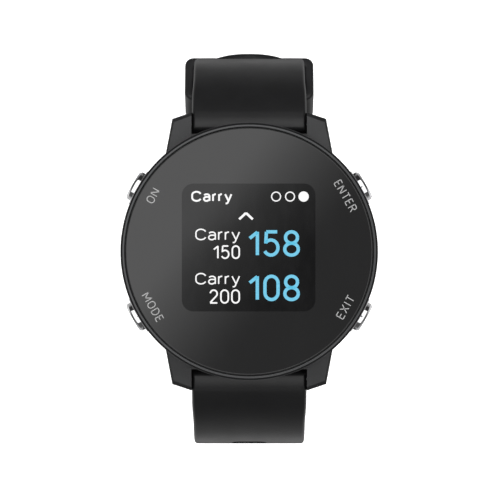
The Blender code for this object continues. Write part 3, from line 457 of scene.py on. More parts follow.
# %% [markdown]
# Under the glass, a dark grey mask is printed round the display, and the display itself is almost
# black. The lens could be made of real clear glass over those layers, but it shows only gloss and
# two tones, and opaque black glass with the tones in it is steadier in any viewer. Broad
# fingerprints vary its roughness a little, and a painted reflection of the light above makes the
# glass lighter towards its upper left corner, most of all over the display.

# %% Lens, display, print and lit figures
PAINTED_REFLECTION_REACH = (0.005, 0.017)
SMEARS, DUST, SPECKLE, PIXELS = 300.0, 9000.0, 5200.0, 3800.0
UNLIT = (0.01, 0.01, 0.01, 1)


def make_glass(name, dark, light, rough, gloss):
    """Black glass with smears and dust, and a painted reflection that makes it lighter towards its
    upper left corner.
    """
    made, place = new_finish(name, Specular_IOR_Level=gloss, IOR=1.5)
    smear = place.noise(SMEARS, 3.0, 0.6, (1.0, 0.4, 1.0)).clamped(0.4, 0.75)
    dust = place.noise(DUST, 1.0).clamped(0.74, 0.80)
    x, y, _ = place.split()
    # Painted reflection: the base colour lightens towards the upper left, as the light above would
    # show in the glass.
    glow = (y - x).clamped(*PAINTED_REFLECTION_REACH)
    return feed(
        made,
        Base_Color=(smear * 0.1 + dust * 0.4 + glow * 0.5).between(dark, light),
        Roughness=smear * 0.012 + dust * 0.1 + rough,
    )


def make_print(name, dark, light):
    made, place = new_finish(name, Specular_IOR_Level=0.3)
    speckle = place.noise(SPECKLE, 2.0).clamped(0.3, 0.7)
    return feed(made, Base_Color=speckle.between(dark, light), Roughness=speckle * 0.2 + 0.4)


def make_lit(name, low, high, strength):
    """Lit display segments: light varies a little from pixel to pixel."""
    made, place = new_finish(name, Base_Color=UNLIT, Emission_Strength=strength)
    pixels = place.noise(PIXELS, 1.0).clamped(0.3, 0.7)
    return feed(made, Emission_Color=pixels.between(low, high), Roughness=pixels * 0.05 + 0.3)


lens_glass = make_glass(
    "lens_glass_painted_reflection", (0.0070, 0.0070, 0.0071), (0.0090, 0.0090, 0.0092), rough=0.045, gloss=0.5
)
window_glass = make_glass(
    "display_glass_painted_reflection", (0.0030, 0.0030, 0.0031), (0.0270, 0.0270, 0.0274), rough=0.05, gloss=0.24
)
label_print = make_print("label_print", (0.27, 0.27, 0.27), (0.36, 0.36, 0.36))
lit_white = make_lit("lit_white", (0.90, 0.90, 0.90), (1.0, 1.0, 1.0), 1.0)
lit_cyan = make_lit("lit_cyan", (0.10, 0.52, 0.75), (0.14, 0.60, 0.84), 0.95)

# %% [markdown]
# Polished steel is a mirror, so nearly all of its look is what it reflects. Faint scratches in its
# roughness and a slight tint keep it from looking like chrome. The buckle is darker, satin steel,
# brushed across the strap. The pieces inside the case have a simple mottled finish.

# %% Metals and inside finishes
SCRATCHES, SATIN, METAL_CLOUDS = 1500.0, 4000.0, 400.0


def make_metal(name, dark, light, rough, stretch, scale=SCRATCHES):
    """Metal with fine scratches, drawn out along the axes whose stretch is small."""
    made, place = new_finish(name, Metallic=1.0)
    scratches = place.noise(scale, 4.0, 0.7, stretch)
    cloud = place.noise(METAL_CLOUDS, 2.0)
    return feed(
        made,
        Base_Color=(scratches * 0.5 + cloud * 0.5).between(dark, light),
        Roughness=scratches * 0.06 + cloud * 0.04 + rough,
        Normal=scratches.bump(0.004 * MM, 0.25),
    )


def make_mottled(name, dark, light, rough, scale, metallic=0.0):
    """Board, ceramic or foil, with a coarse and a fine mottle."""
    made, place = new_finish(name, Metallic=metallic)
    mottle = place.noise(scale, 3.0).clamped(0.3, 0.7)
    fine = place.noise(scale * 6, 2.0)
    return feed(
        made,
        Base_Color=(mottle * 0.7 + fine * 0.3).between(dark, light),
        Roughness=fine * 0.12 + rough,
        Normal=fine.bump(0.02 * MM, 0.3),
    )


polished_steel = make_metal(
    "polished_steel", (0.64, 0.64, 0.65), (0.74, 0.74, 0.75), rough=0.03, stretch=(1, 1, 0.2)
)
dark_steel = make_metal(
    "dark_satin_steel", (0.155, 0.155, 0.16), (0.235, 0.235, 0.24), 0.26, (0.06, 1, 1), SATIN
)
contact_gold = make_metal(
    "contact_gold", (0.72, 0.50, 0.20), (0.84, 0.62, 0.28), rough=0.16, stretch=(1, 1, 1)
)
board_mask = make_mottled(
    "board_mask", (0.010, 0.075, 0.032), (0.026, 0.135, 0.062), rough=0.40, scale=900.0
)
antenna_ceramic = make_mottled(
    "antenna_ceramic", (0.56, 0.51, 0.42), (0.68, 0.63, 0.54), rough=0.35, scale=1400.0
)
battery_foil = make_mottled(
    "battery_foil", (0.46, 0.46, 0.44), (0.62, 0.62, 0.60), rough=0.28, scale=500.0, metallic=0.5
)

# %% [markdown]
# Four lugs hold the strap's spring bars. Each is a small prism with a chamfer round its top, and
# the top slopes down to the tip. A bevel could make the chamfer, but it would follow the slope
# unevenly, so the outline is extruded twice: up to the foot of the chamfer, then on to a top that
# is drawn in. Each vertex carries the number of its corner, so that the extruded ones can be put in
# their places. A fine bevel then breaks the edges.

# %% Lugs
BAR_Y, BAR_Z = 22.5, 53.2
LUG_INNER, LUG_TIP, STRAP_WALL = 10.2, 24.6, 20.65
LUG_ROOT = 17.9
LUG_OUTLINE = [
    (LUG_INNER, LUG_ROOT),
    (15.2, 14.4),
    (14.55, 18.0),
    (13.6, 23.45),
    (LUG_INNER, LUG_TIP),
]
LUG_CHAMFER = [(0, 0), (0, 0), (0.30, 0), (0.30, 0.62), (0, 0.62)]
LUG_LOW, LUG_HIGH, LUG_SLOPE, LUG_EDGE = 51.0, 55.6, 0.40, 0.07


def make_lug(side_x, side_y):
    """One lug: its outline is raised to a chamfer, then to a drawn-in top that slopes to the tip."""
    bm = bmesh.new()
    corner = bm.verts.layers.int.new("corner")
    for number, (x, y) in enumerate(LUG_OUTLINE):
        bm.verts.new((x, y, LUG_LOW))[corner] = number
    lid = bm.faces.new(bm.verts)
    for drawn_in in (0, 1):
        moved = raised(bm, [lid], (0, 0, LUG_HIGH - LUG_LOW))
        if drawn_in:
            bmesh.ops.delete(bm, geom=[lid], context="FACES_ONLY")
        lid = next(face for face in bm.faces if set(face.verts) == set(moved))
        for vert in moved:
            (x, y), (cut_x, cut_y) = LUG_OUTLINE[vert[corner]], LUG_CHAMFER[vert[corner]]
            top = LUG_HIGH + LUG_SLOPE * (LUG_TIP - y + cut_y)
            height = top if drawn_in else top - max(cut_x, cut_y)
            vert.co = (x - drawn_in * cut_x, y - drawn_in * cut_y, height)
    bmesh.ops.scale(bm, vec=(side_x, side_y, 1), verts=bm.verts)
    tidy(bm)
    outside = [e for e in bm.edges if min(abs(v.co.y) for v in e.verts) > LUG_ROOT + 0.05]
    bevel(bm, outside, LUG_EDGE, "EDGES", 2)
    return tidy(bm)


print("a lug reaches", LUG_TIP, "mm from the middle of the dial")

# %% [markdown]
# The case middle is one moulding: a round wall with the four lugs, a flat notch behind each end of
# the strap, and a stepped bore for each button's collar and stem. The wall is turned, and Booleans
# join and cut the rest as the mould does. Last, the lugs' tops, which face the light, are found by
# the slope of their faces and marked for the finish's painted highlight.

# %% Case middle
LUG_TOP_NORMALS = (0.85, 0.96)
CASE_BORE, CASE_TOP, FLOOR_LOW, FLOOR_HIGH, NOTCH_TOP = 19.4, 60.27, 51.6, 53.7, 59.67
WEB_DEPTH, NOTCH_DEPTH, NOTCH_DROP = 8.0, 4.0, 5.8
BUTTON_BORE = [
    (0, 24, 0),
    (3.47, 24, 0),
    (3.47, 20.45, 0),
    (1.7, 20.45, 0),
    (1.7, 18.9, 0),
    (0, 18.9, 0),
]
BUTTON_Z = 56.0
BUTTON_ANGLES = {"up": 150, "select": 30, "down": 210, "back": 330}
CASE_WALL = [
    (21.9, CASE_TOP, 0.2),
    (21.9, 53.8, 1.2),
    (19.7, 50.0, 0.35),
    (18.7, 50.0, 0.12),
    (18.7, FLOOR_LOW, 0),
    (14.2, FLOOR_LOW, 0),
    (14.2, FLOOR_HIGH, 0),
    (CASE_BORE, FLOOR_HIGH, 0),
    (CASE_BORE, CASE_TOP, 0.2),
]


def outward(angle, height):
    """Turns Z to point out of the case at an angle in degrees."""
    turn = Matrix.Rotation(math.radians(angle), 4, "Z") @ ACROSS
    return Matrix.Translation((0, 0, height)) @ turn


def mark_lit_tops(bm):
    """Marks the lugs' sloping tops, which face the light, for a painted highlight; the rest gets
    painted shade.
    """
    bm.normal_update()
    mark = bm.faces.layers.float.new(LIT_TOP_MARK)
    for face in bm.faces:
        face[mark] = float(LUG_TOP_NORMALS[0] < face.normal.z < LUG_TOP_NORMALS[1])
    return bm


case = turned(CASE_WALL)
for side in (1, -1):
    web_place = (0, side * (STRAP_WALL - WEB_DEPTH / 2))
    web = plate(2 * LUG_INNER, WEB_DEPTH, 0, FLOOR_LOW, NOTCH_TOP, web_place)
    web = carved(web, disc(CASE_BORE, FLOOR_LOW - 1, NOTCH_TOP + 1, steps=RING_STEPS))
    case = carved(case, web, "UNION")
    notch_place = (0, side * (STRAP_WALL + NOTCH_DEPTH / 2))
    notch = plate(2 * LUG_INNER, NOTCH_DEPTH, 0, BAR_Z - NOTCH_DROP, NOTCH_TOP, notch_place)
    case = carved(case, notch)
    for hand in (1, -1):
        case = carved(case, make_lug(hand, side), "UNION")
for angle in BUTTON_ANGLES.values():
    case = carved(case, placed(turned(BUTTON_BORE, SMALL_STEPS), outward(angle, BUTTON_Z)))
add_piece("case_middle", mark_lit_tops(case), case_resin, "case", ["mid_case"])

# %% [markdown]
# The bezel ring holds the lens. From the front only a narrow grey land shows, between a dark groove
# round the lens and a chamfer that falls away to the side. So the profile needs a crisp groove and
# a crisp chamfer, with slightly broken edges.

# %% Bezel ring
bezel = [
    (21.65, 62.36, 0.04),
    (21.83, 62.57, 0.03),
    (22.10, 62.57, 0.03),
    (22.5, 62.17, 0.08),
    (22.5, 60.47, 0.22),
    (19.2, 60.47, 0),
    (19.2, 59.07, 0.1),
    (18.7, 59.07, 0.1),
    (18.7, 60.92, 0),
    (21.65, 60.92, 0),
]
add_piece("bezel", turned(bezel), bezel_metal, "case", ["bezel_ring"])

# %% [markdown]
# The lens is a flat disc whose edge is ground down in two steps, which draws a thin line beside the
# bezel. The display shows through it as a rounded square, a little darker than the printed mask
# round it. That window is a thin inlay in the lens, so that its edge is real geometry and stays
# sharp from close by.

# %% Lens and display window
LENS_TOP = 62.645
WINDOW_WIDTH, WINDOW_HEIGHT, WINDOW_CORNER, WINDOW_PLACE = 23.3, 22.3, 2.0, (-0.1, 0.7)
WINDOW_DEPTH, WINDOW_RISE = 0.2, 0.004
lens = [
    (0, LENS_TOP, 0),
    (21.32, LENS_TOP, 0),
    (21.45, LENS_TOP - 0.012, 0),
    (21.49, LENS_TOP - 0.1, 0.02),
    (21.49, 61.47, 0),
    (0, 61.47, 0),
]
add_piece("lens", turned(lens), lens_glass, "case", ["front_lens"])
window = plate(
    WINDOW_WIDTH,
    WINDOW_HEIGHT,
    WINDOW_CORNER,
    LENS_TOP - WINDOW_DEPTH,
    LENS_TOP + WINDOW_RISE,
    WINDOW_PLACE,
)
add_piece("display_window", window, window_glass, "case")

# %% [markdown]
# Figures on the display and the labels by the buttons are plain signs of even stroke. A text object
# would bring a font whose shapes are too wide and heavy, so each sign is drawn as a few strokes, in
# a box one unit wide and high that is fitted to the sign's own width. Where strokes meet at a
# corner they simply overlap, so no stroke has a sharp bend in it.

# %% Shapes of the signs
def bow(cx, cy, rx, ry, start, end, count=14):
    """Points on part of an ellipse, angles in degrees."""
    angles = [math.radians(start + (end - start) * i / count) for i in range(count + 1)]
    return [(cx + rx * math.cos(a), cy + ry * math.sin(a)) for a in angles]


def loop(low, high, rx=0.5, bend=0.30):
    """A closed upright oval with straight sides."""
    points = bow(0.5, high - bend, rx, bend, 0, 180) + bow(0.5, low + bend, rx, bend, 180, 360)
    return points + points[:1]


# Each sign has its width as a share of its height, then its strokes. LOWER is the height of a small
# sign. The two loops of the 8 overlap by a hair, so that no edges coincide.
LOWER = 0.73
SIGNS = {
    "0": (0.56, [loop(0, 1)]),
    "1": (0.40, [[(0.9, 0), (0.9, 1)], [(0.9, 0.985), (0.0, 0.72)]]),
    "2": (0.55, [bow(0.5, 0.72, 0.48, 0.28, 172, -32) + [(0.02, 0.03)], [(0, 0), (1, 0)]]),
    "5": (
        0.55,
        [
            [(0.1, 1), (0.94, 1)],
            [(0.11, 1), (0.06, 0.5)],
            bow(0.46, 0.325, 0.54, 0.325, 138, -152, 20),
        ],
    ),
    "8": (0.57, [loop(0.51, 1, 0.44, 0.24), loop(0, 0.512, 0.5, 0.25)]),
    "C": (0.60, [bow(0.53, 0.64, 0.53, 0.36, 22, 180) + bow(0.53, 0.36, 0.53, 0.36, 180, 338)]),
    "D": (
        0.62,
        [
            [(0, 0), (0, 1)],
            [(0, 1), (0.35, 1)] + bow(0.4, 0.5, 0.6, 0.5, 90, -90) + [(0.35, 0), (0, 0)],
        ],
    ),
    "E": (0.50, [[(0, 0), (0, 1)], [(0, 1), (1, 1)], [(0, 0.52), (0.9, 0.52)], [(0, 0), (1, 0)]]),
    "I": (0.16, [[(0.5, 0), (0.5, 1)]]),
    "M": (0.78, [[(0, 0), (0, 1)], [(1, 0), (1, 1)], [(0, 1), (0.5, 0.25)], [(1, 1), (0.5, 0.25)]]),
    "N": (0.65, [[(0, 0), (0, 1)], [(1, 0), (1, 1)], [(0, 1), (1, 0)]]),
    "O": (0.66, [loop(0, 1, 0.5, 0.36)]),
    "R": (
        0.58,
        [
            [(0, 0), (0, 1)],
            [(0, 1), (0.5, 1)] + bow(0.55, 0.75, 0.45, 0.25, 90, -90) + [(0.5, 0.5), (0, 0.5)],
            [(0.5, 0.5), (1, 0)],
        ],
    ),
    "T": (0.56, [[(0, 1), (1, 1)], [(0.5, 0), (0.5, 1)]]),
    "X": (0.60, [[(0, 0), (1, 1)], [(0, 1), (1, 0)]]),
    "a": (
        0.44,
        [
            [(1, 0)] + bow(0.5, LOWER - 0.22, 0.5, 0.22, 0, 152),
            [(1, 0.43), (0.45, 0.43)]
            + bow(0.42, 0.215, 0.42, 0.215, 90, 270)
            + [(0.6, 0.0), (1, 0.13)],
        ],
    ),
    "r": (0.26, [[(0, 0), (0, LOWER)], bow(0.95, LOWER - 0.3, 0.95, 0.30, 175, 82)]),
    "y": (
        0.48,
        [
            [(0, LOWER), (0.52, 0.02)],
            [(1, LOWER), (0.42, -0.2), (0.3, -0.27), (0.08, -0.28)],
        ],
    ),
}
print("signs:", "".join(SIGNS))

# %% [markdown]
# A row of signs is laid out from left to right and stretched to the width that it has on the watch.
# Each stroke is then a curve with a flat rectangular section. A curve gives bars of even weight
# round any bow, which extruding a drawn outline would not.

# %% Strokes to mesh
def sign_strokes(text, height, weight, spacing, width):
    """Stroke lines of a row of signs in millimetres, fitted to a width that starts at x 0."""
    natural = sum(SIGNS[sign][0] for sign in text) * height
    stretch = (width - spacing * (len(text) - 1)) / natural
    lines, x = [], 0.0
    for sign in text:
        share, strokes = SIGNS[sign]
        wide, tall = share * height * stretch - weight, height - weight
        for stroke in strokes:
            lines.append([(x + weight / 2 + px * wide, weight / 2 + py * tall) for px, py in stroke])
        x += wide + weight + spacing
    return lines


def stroke_mesh(lines, weight, low, high):
    """A bmesh of flat bars along lines in XY, between two heights."""
    section = bpy.data.curves.new("stroke_section", "CURVE")
    edge = section.splines.new("POLY")
    edge.points.add(3)
    half, thick = weight / 2, (high - low) / 2
    corners = [(-half, -thick), (half, -thick), (half, thick), (-half, thick)]
    for point, (x, y) in zip(edge.points, corners):
        point.co = (x, y, 0, 1)
    edge.use_cyclic_u = True
    section_object = bpy.data.objects.new("stroke_section", section)
    scene.collection.objects.link(section_object)
    curve = bpy.data.curves.new("strokes", "CURVE")
    curve.dimensions, curve.twist_mode = "3D", "Z_UP"
    curve.bevel_mode, curve.bevel_object, curve.use_fill_caps = "OBJECT", section_object, True
    for line in lines:
        spline = curve.splines.new("POLY")
        spline.points.add(len(line) - 1)
        for point, (x, y) in zip(spline.points, line):
            point.co = (x, y, (low + high) / 2, 1)
    strokes = bpy.data.objects.new("strokes", curve)
    scene.collection.objects.link(strokes)
    mesh = evaluated_mesh(strokes)
    bm = bmesh.new()
    bm.from_mesh(mesh)
    bpy.data.meshes.remove(mesh)
    for item in (strokes, section_object):
        data = item.data
        bpy.data.objects.remove(item)
        bpy.data.curves.remove(data)
    return tidy(bm)


def shifted(lines, dx, dy, angle=0.0):
    """Lines turned by an angle in degrees, then moved."""
    turn = Matrix.Rotation(math.radians(angle), 2)
    return [[tuple(turn @ Vector(point) + Vector((dx, dy))) for point in line] for line in lines]


print("strokes in all signs:", sum(len(strokes) for _, strokes in SIGNS.values()))

# %% [markdown]
# The display shows two rows: a small word and number on the left, and a large number on the right,
# under a title, three page dots and a chevron. White and cyan signs are separate pieces, because
# each has one finish.

# %% Lit figures
FIGURE_LOW, FIGURE_HIGH = LENS_TOP - 0.05, LENS_TOP + 0.012
TITLE_WEIGHT, TEXT_WEIGHT, SMALL_WEIGHT, LARGE_WEIGHT = 0.31, 0.23, 0.27, 0.58
CIRCLE_WEIGHT, CHEVRON_WEIGHT = 0.2, 0.40
PAGE_ROW, CIRCLE_RADIUS, CIRCLE_PLACES, DOT_RADIUS, DOT_PLACE = 9.58, 0.78, (4.69, 7.12), 0.9, 9.49
CHEVRON = [[(-1.74, 5.62), (-0.56, 6.72)], [(-0.56, 6.72), (0.62, 5.62)]]


def text_lines(text, baseline, height, weight, left, right, spacing):
    """Stroke lines of a text that runs from left to right on a baseline."""
    return shifted(sign_strokes(text, height, weight, spacing, right - left), left, baseline)


def figure_mesh(lines, weight):
    return stroke_mesh(lines, weight, FIGURE_LOW, FIGURE_HIGH)


title = text_lines("Carry", 8.67, 1.9, TITLE_WEIGHT, -10.1, -2.95, 0.3)
words = []
for baseline in (1.95, -5.76):
    words += text_lines("Carry", baseline, 2.04, TEXT_WEIGHT, -9.4, -1.6, 0.36)
small = text_lines("150", -1.31, 2.4, SMALL_WEIGHT, -6.3, -1.6, 0.36)
small += text_lines("200", -9.1, 2.5, SMALL_WEIGHT, -6.95, -1.6, 0.36)
ring = bow(0, 0, CIRCLE_RADIUS, CIRCLE_RADIUS, 0, 360, 40)
circles = [line for place in CIRCLE_PLACES for line in shifted([ring], place, PAGE_ROW)]
dot = disc(DOT_RADIUS, FIGURE_LOW, FIGURE_HIGH, steps=40)
white = [
    figure_mesh(title, TITLE_WEIGHT),
    figure_mesh(words, TEXT_WEIGHT),
    figure_mesh(small, SMALL_WEIGHT),
    figure_mesh(circles, CIRCLE_WEIGHT),
    figure_mesh(CHEVRON, CHEVRON_WEIGHT),
    placed(dot, Matrix.Translation((DOT_PLACE, PAGE_ROW, 0))),
]
add_piece("white_figures", joined(white), lit_white, "case")
large = []
for text, baseline in (("158", -0.92), ("108", -8.67)):
    large += text_lines(text, baseline, 4.64, LARGE_WEIGHT, -0.2, 8.85, 0.6)
cyan = figure_mesh(large, LARGE_WEIGHT)
add_piece("cyan_figures", cyan, lit_cyan, "case")

# %% [markdown]
# Beside each button, a short plain word is printed on the lens. It runs along the rim, so each word
# is drawn level, centred, turned, and moved out to its place near the edge.

# %% Button labels
LABEL_RADIUS, LABEL_CAP, LABEL_WEIGHT, LABEL_SPACING = 19.4, 1.5, 0.155, 0.34
LABELS = {
    "up": ("ON", 60, 2.6),
    "select": ("ENTER", -60, 5.9),
    "down": ("MODE", -60, 5.4),
    "back": ("EXIT", 60, 4.3),
}
label_lines = []
for word, (text, turn, width) in LABELS.items():
    row = sign_strokes(text, LABEL_CAP, LABEL_WEIGHT, LABEL_SPACING, width)
    centred = shifted(row, -width / 2, -LABEL_CAP / 2)
    angle = math.radians(BUTTON_ANGLES[word])
    x, y = LABEL_RADIUS * math.cos(angle), LABEL_RADIUS * math.sin(angle)
    label_lines += shifted(centred, x, y, turn)
labels = figure_mesh(label_lines, LABEL_WEIGHT)
add_piece("button_labels", labels, label_print, "case")

# %% [markdown]
# The case back is a round cover held by four screws, with four gold charging contacts in a row. It
# is turned, then the seats are cut into it, so that the screws and contacts stand a little below
# its face.

# %% Case back, screws and contacts
BACK_Z, BACK_TOP = 49.6, 51.3
SCREW_CIRCLE, SCREW_SEAT, SCREW_SEAT_DEPTH = 17.155, 1.15, 0.85
SOCKET_RADIUS, SOCKET_DEPTH, SOCKET_PLACE = 0.56, 0.8, 0.1
CONTACT_PITCH, CONTACT_ROW, CONTACT_SEAT, CONTACT_SEAT_DEPTH = 2.54, -10.5, 0.95, 1.2
SEAT_LOW = -0.3
BACK_COVER = [
    (0, BACK_TOP, 0),
    (18.5, BACK_TOP, 0),
    (18.5, BACK_Z + 0.5, 0.15),
    (18.0, BACK_Z, 0.15),
    (0, BACK_Z, 0),
]
SCREW = [
    (0, 1.9, 0),
    (0.6, 1.9, 0),
    (0.6, 0.7, 0),
    (1.0, 0.7, 0),
    (1.0, 0.15, 0.12),
    (0, 0.15, 0),
]
CONTACT = [
    (0, 2.15, 0),
    (1.1, 2.15, 0),
    (1.1, 1.85, 0),
    (0.8, 1.85, 0),
    (0.8, 0.22, 0.2),
    (0, 0.1, 0),
]

screw_places = [
    Matrix.Translation((SCREW_CIRCLE * math.cos(a), SCREW_CIRCLE * math.sin(a), BACK_Z))
    for a in (math.radians(45 + 90 * quarter) for quarter in range(4))
]
contact_places = [
    Matrix.Translation(((number - 1.5) * CONTACT_PITCH, CONTACT_ROW, BACK_Z)) for number in range(4)
]
back = turned(BACK_COVER)
for place in screw_places:
    back = carved(back, placed(disc(SCREW_SEAT, SEAT_LOW, SCREW_SEAT_DEPTH), place))
for place in contact_places:
    back = carved(back, placed(disc(CONTACT_SEAT, SEAT_LOW, CONTACT_SEAT_DEPTH), place))
add_piece("back_cover", back, cover_resin, "case", ["case_back"])

for number, place in enumerate(screw_places, start=1):
    socket = placed(prism(SOCKET_RADIUS, SOCKET_DEPTH, 6), Matrix.Translation((0, 0, SOCKET_PLACE)))
    screw = placed(carved(turned(SCREW, SMALL_STEPS), socket), place)
    solid = f"case_screw_{number}"
    add_piece(f"cover_screw_{number}", screw, polished_steel, "case", [solid])
for number, place in enumerate(contact_places, start=1):
    contact = placed(turned(CONTACT, SMALL_STEPS), place)
    solid = f"charge_contact_{number}"
    add_piece(f"gold_contact_{number}", contact, contact_gold, "case", [solid])

# %% [markdown]
# Each push button is a polished cap with a chamfered edge, on a stem, in a thin polished collar
# whose neck is pressed into the case. Both are turned about their own axis and then laid outwards.
# The cap rides on the button's own body, so that it moves in when pressed, and the collar stays
# with the case.

# %% Push buttons and collars
cap = [
    (0, 23.7, 0),
    (2.33, 23.7, 0.1),
    (2.72, 23.31, 0.08),
    (2.72, 22.0, 0.1),
    (0.85, 22.0, 0),
    (0.85, 19.25, 0),
    (0.5, 19.25, 0),
    (0.5, 18.65, 0),
    (0.6, 18.65, 0),
    (0.6, 17.75, 0.1),
    (0, 17.75, 0),
]
collar = [
    (3.02, 22.65, 0.08),
    (3.32, 22.65, 0.14),
    (3.32, 20.6, 0),
    (1.55, 20.6, 0),
    (1.55, 19.25, 0),
    (1.02, 19.25, 0),
    (1.02, 21.1, 0),
    (3.02, 21.1, 0),
]
for word, angle in BUTTON_ANGLES.items():
    place = outward(angle, BUTTON_Z)
    body, sleeve = f"button_{word}", f"button_{word}_sleeve"
    button = placed(turned(cap, SMALL_STEPS), place)
    add_piece(f"push_cap_{word}", button, polished_steel, body, [body])
    ring = placed(turned(collar, SMALL_STEPS), place)
    add_piece(f"collar_{word}", ring, polished_steel, "case", [sleeve])

# %% [markdown]
# Seen from the side, the strap is a chain of arcs: over the shoulder, round the heel, along the
# table, and up through the buckle and the keeper on an arc about the lower spring bar. A strap
# could be swept along that line, but its slots are far easier to cut while it is flat. So each half
# is made flat first, like a blank, and bent afterwards: a point's distance along the blank becomes
# a distance along the path.

# %% The strap's path
UPPER_BAR, LOWER_BAR = Vector((BAR_Y, BAR_Z)), Vector((-BAR_Y, BAR_Z))
SWING, TAIL_SWING, SHOULDER = 60.5, 63.1, math.radians(25)
STRAP_HALF, TAIL_HALF, BAR_END, BUCKLE_END = 1.2, 1.1, 1.7, 1.5
BUCKLE_TURN, TAIL_TURN = math.radians(41.5), math.radians(22.2)
HEEL, TOE = 24.0, 14.0
DOWN = -math.pi / 2
ROUND_OFF = 1e-9


def spoke_at(angle):
    """A unit vector in the side view, in Y and Z."""
    return Vector((math.cos(angle), math.sin(angle)))


class Path:
    """Arcs and lines joined end to end. Each place has a direction that points out of the loop."""

    def __init__(self):
        self.runs = []

    def arc(self, middle, radius, start, end):
        self.runs.append((abs(end - start) * radius, middle, radius, start, end))
        return self

    def line_to(self, target):
        place, spoke = self.at(self.length)
        self.runs.append(((target - place).length, place, target, spoke, None))
        return self

    @property
    def length(self):
        return sum(run[0] for run in self.runs)

    def at(self, distance):
        """The place at a distance and the outward direction there."""
        if distance < 0:
            place, spoke = self.at(0)
            return place - self.onward(0) * -distance, spoke
        for length, first, second, start, end in self.runs:
            if distance <= length + ROUND_OFF:
                share = min(1.0, distance / length)
                if end is None:
                    return first.lerp(second, share), start
                spoke = spoke_at(start + (end - start) * share)
                return first + second * spoke, spoke
            distance -= length
        place, spoke = self.at(self.length)
        return place + self.onward(self.length) * distance, spoke

    def onward(self, distance):
        """The direction of travel, a quarter turn from the outward direction."""
        spoke = self.at(distance)[1]
        start, end = self.runs[0][3], self.runs[0][4]
        return Vector((-spoke.y, spoke.x)) if end > start else Vector((spoke.y, -spoke.x))


def angle_from(middle, point):
    return math.atan2(point.y - middle.y, point.x - middle.x)


reach = SWING**2 - (2 * BAR_Y) ** 2
shoulder_distance = reach / (2 * SWING - 4 * BAR_Y * math.cos(SHOULDER))
shoulder_radius = SWING - shoulder_distance
upper_shoulder = LOWER_BAR + shoulder_distance * spoke_at(-SHOULDER)
lower_shoulder = Vector((-upper_shoulder.x, upper_shoulder.y))

upper_start = angle_from(upper_shoulder, UPPER_BAR)
upper_path = Path().arc(upper_shoulder, shoulder_radius, upper_start, -SHOULDER)
upper_path.arc(LOWER_BAR, SWING, -SHOULDER, -BUCKLE_TURN)

BUCKLE_SWING = SWING + STRAP_HALF - BUCKLE_END
buckle_spoke = spoke_at(-BUCKLE_TURN)
buckle_bar = LOWER_BAR + BUCKLE_SWING * buckle_spoke

lower_start = angle_from(lower_shoulder, LOWER_BAR)
lower_path = Path().arc(lower_shoulder, shoulder_radius, lower_start, math.pi + SHOULDER)
corner, corner_spoke = lower_path.at(lower_path.length)
tangent = Vector((-corner_spoke.y, corner_spoke.x))
drop = corner.y - TAIL_HALF - HEEL * (1 + corner_spoke.y)
heel = corner + tangent * (drop / -tangent.y) - HEEL * corner_spoke
toe_turn = math.asin((BAR_Z - TAIL_HALF - TOE) / (TAIL_SWING - TOE))
toe = LOWER_BAR + (TAIL_SWING - TOE) * spoke_at(-toe_turn)
lower_path.line_to(heel + HEEL * corner_spoke)
lower_path.arc(heel, HEEL, math.pi + SHOULDER, 1.5 * math.pi)
lower_path.line_to(toe + TOE * spoke_at(DOWN))
lower_path.arc(toe, TOE, DOWN, -toe_turn)
lower_path.arc(LOWER_BAR, TAIL_SWING, -toe_turn, -TAIL_TURN)
print("strap lengths:", round(upper_path.length, 1), round(lower_path.length, 1), "mm")

# %% [markdown]
# A blank starts as one face whose tip corners are rounded with a vertex bevel. It is raised to its
# thickness and its rim is bevelled, as the mould's edge is. The slots are cut by a Boolean, their
# mouths are bevelled too, and then many cross cuts give the blank enough edges to bend smoothly. On
# the inner side, a short slot leaves room for the knob that releases the spring bar.

# %% Flat blanks
STRAP_WIDTH = 20.0
EDGE_ROUND, MOUTH_ROUND, MOUTH_REACH = 0.62, 0.28, 8.0
TIP_STEPS, EDGE_STEPS, MOUTH_STEPS = 20, 5, 3
FLAT, UPRIGHT, NEAR = 0.99, 0.1, 0.01
KNOB_WIDTH, KNOB_LENGTH, KNOB_CORNER, KNOB_TOP, KNOB_PLACE = 2.72, 1.32, 0.3, -0.1, (5.3, 0)
THROUGH = 4


def blank(start, end, half, tip):
    """A flat strap from one distance to another, its far end rounded where a tip is given."""
    bm = bmesh.new()
    bmesh.ops.create_grid(bm, x_segments=1, y_segments=1, size=0.5)
    bmesh.ops.scale(bm, vec=(STRAP_WIDTH, end - start, 1), verts=bm.verts)
    bmesh.ops.translate(bm, verts=bm.verts, vec=(0, (start + end) / 2, -half))
    if tip:
        tip_corners = [v for v in bm.verts if v.co.y > (start + end) / 2]
        bevel(bm, tip_corners, tip, "VERTICES", TIP_STEPS)
    raised(bm, bm.faces[:], (0, 0, 2 * half))
    rim = [e for e in bm.edges if abs(e.verts[0].co.z - e.verts[1].co.z) < WELD]
    bevel(bm, rim, EDGE_ROUND, "EDGES", EDGE_STEPS)
    return bm


def cross_cut(bm, distances):
    """Adds edges across a blank, so that it can bend there."""
    for distance in distances:
        bmesh.ops.bisect_plane(
            bm,
            geom=bm.verts[:] + bm.edges[:] + bm.faces[:],
            dist=4 * WELD,
            plane_co=(0, distance, 0),
            plane_no=(0, 1, 0),
        )


def round_mouths(bm, half):
    """Bevels the edges between the flat faces and the walls of what was cut out of them."""
    mouths = []
    for edge in bm.edges:
        inside = max(abs(v.co.x) for v in edge.verts) < MOUTH_REACH
        on_face = abs(abs(edge.verts[0].co.z) - half) < NEAR
        if len(edge.link_faces) == 2 and inside and on_face:
            steep = [abs(face.normal.z) for face in edge.link_faces]
            if max(steep) > FLAT and min(steep) < UPRIGHT:
                mouths.append(edge)
    bevel(bm, mouths, MOUTH_ROUND, "EDGES", MOUTH_STEPS)


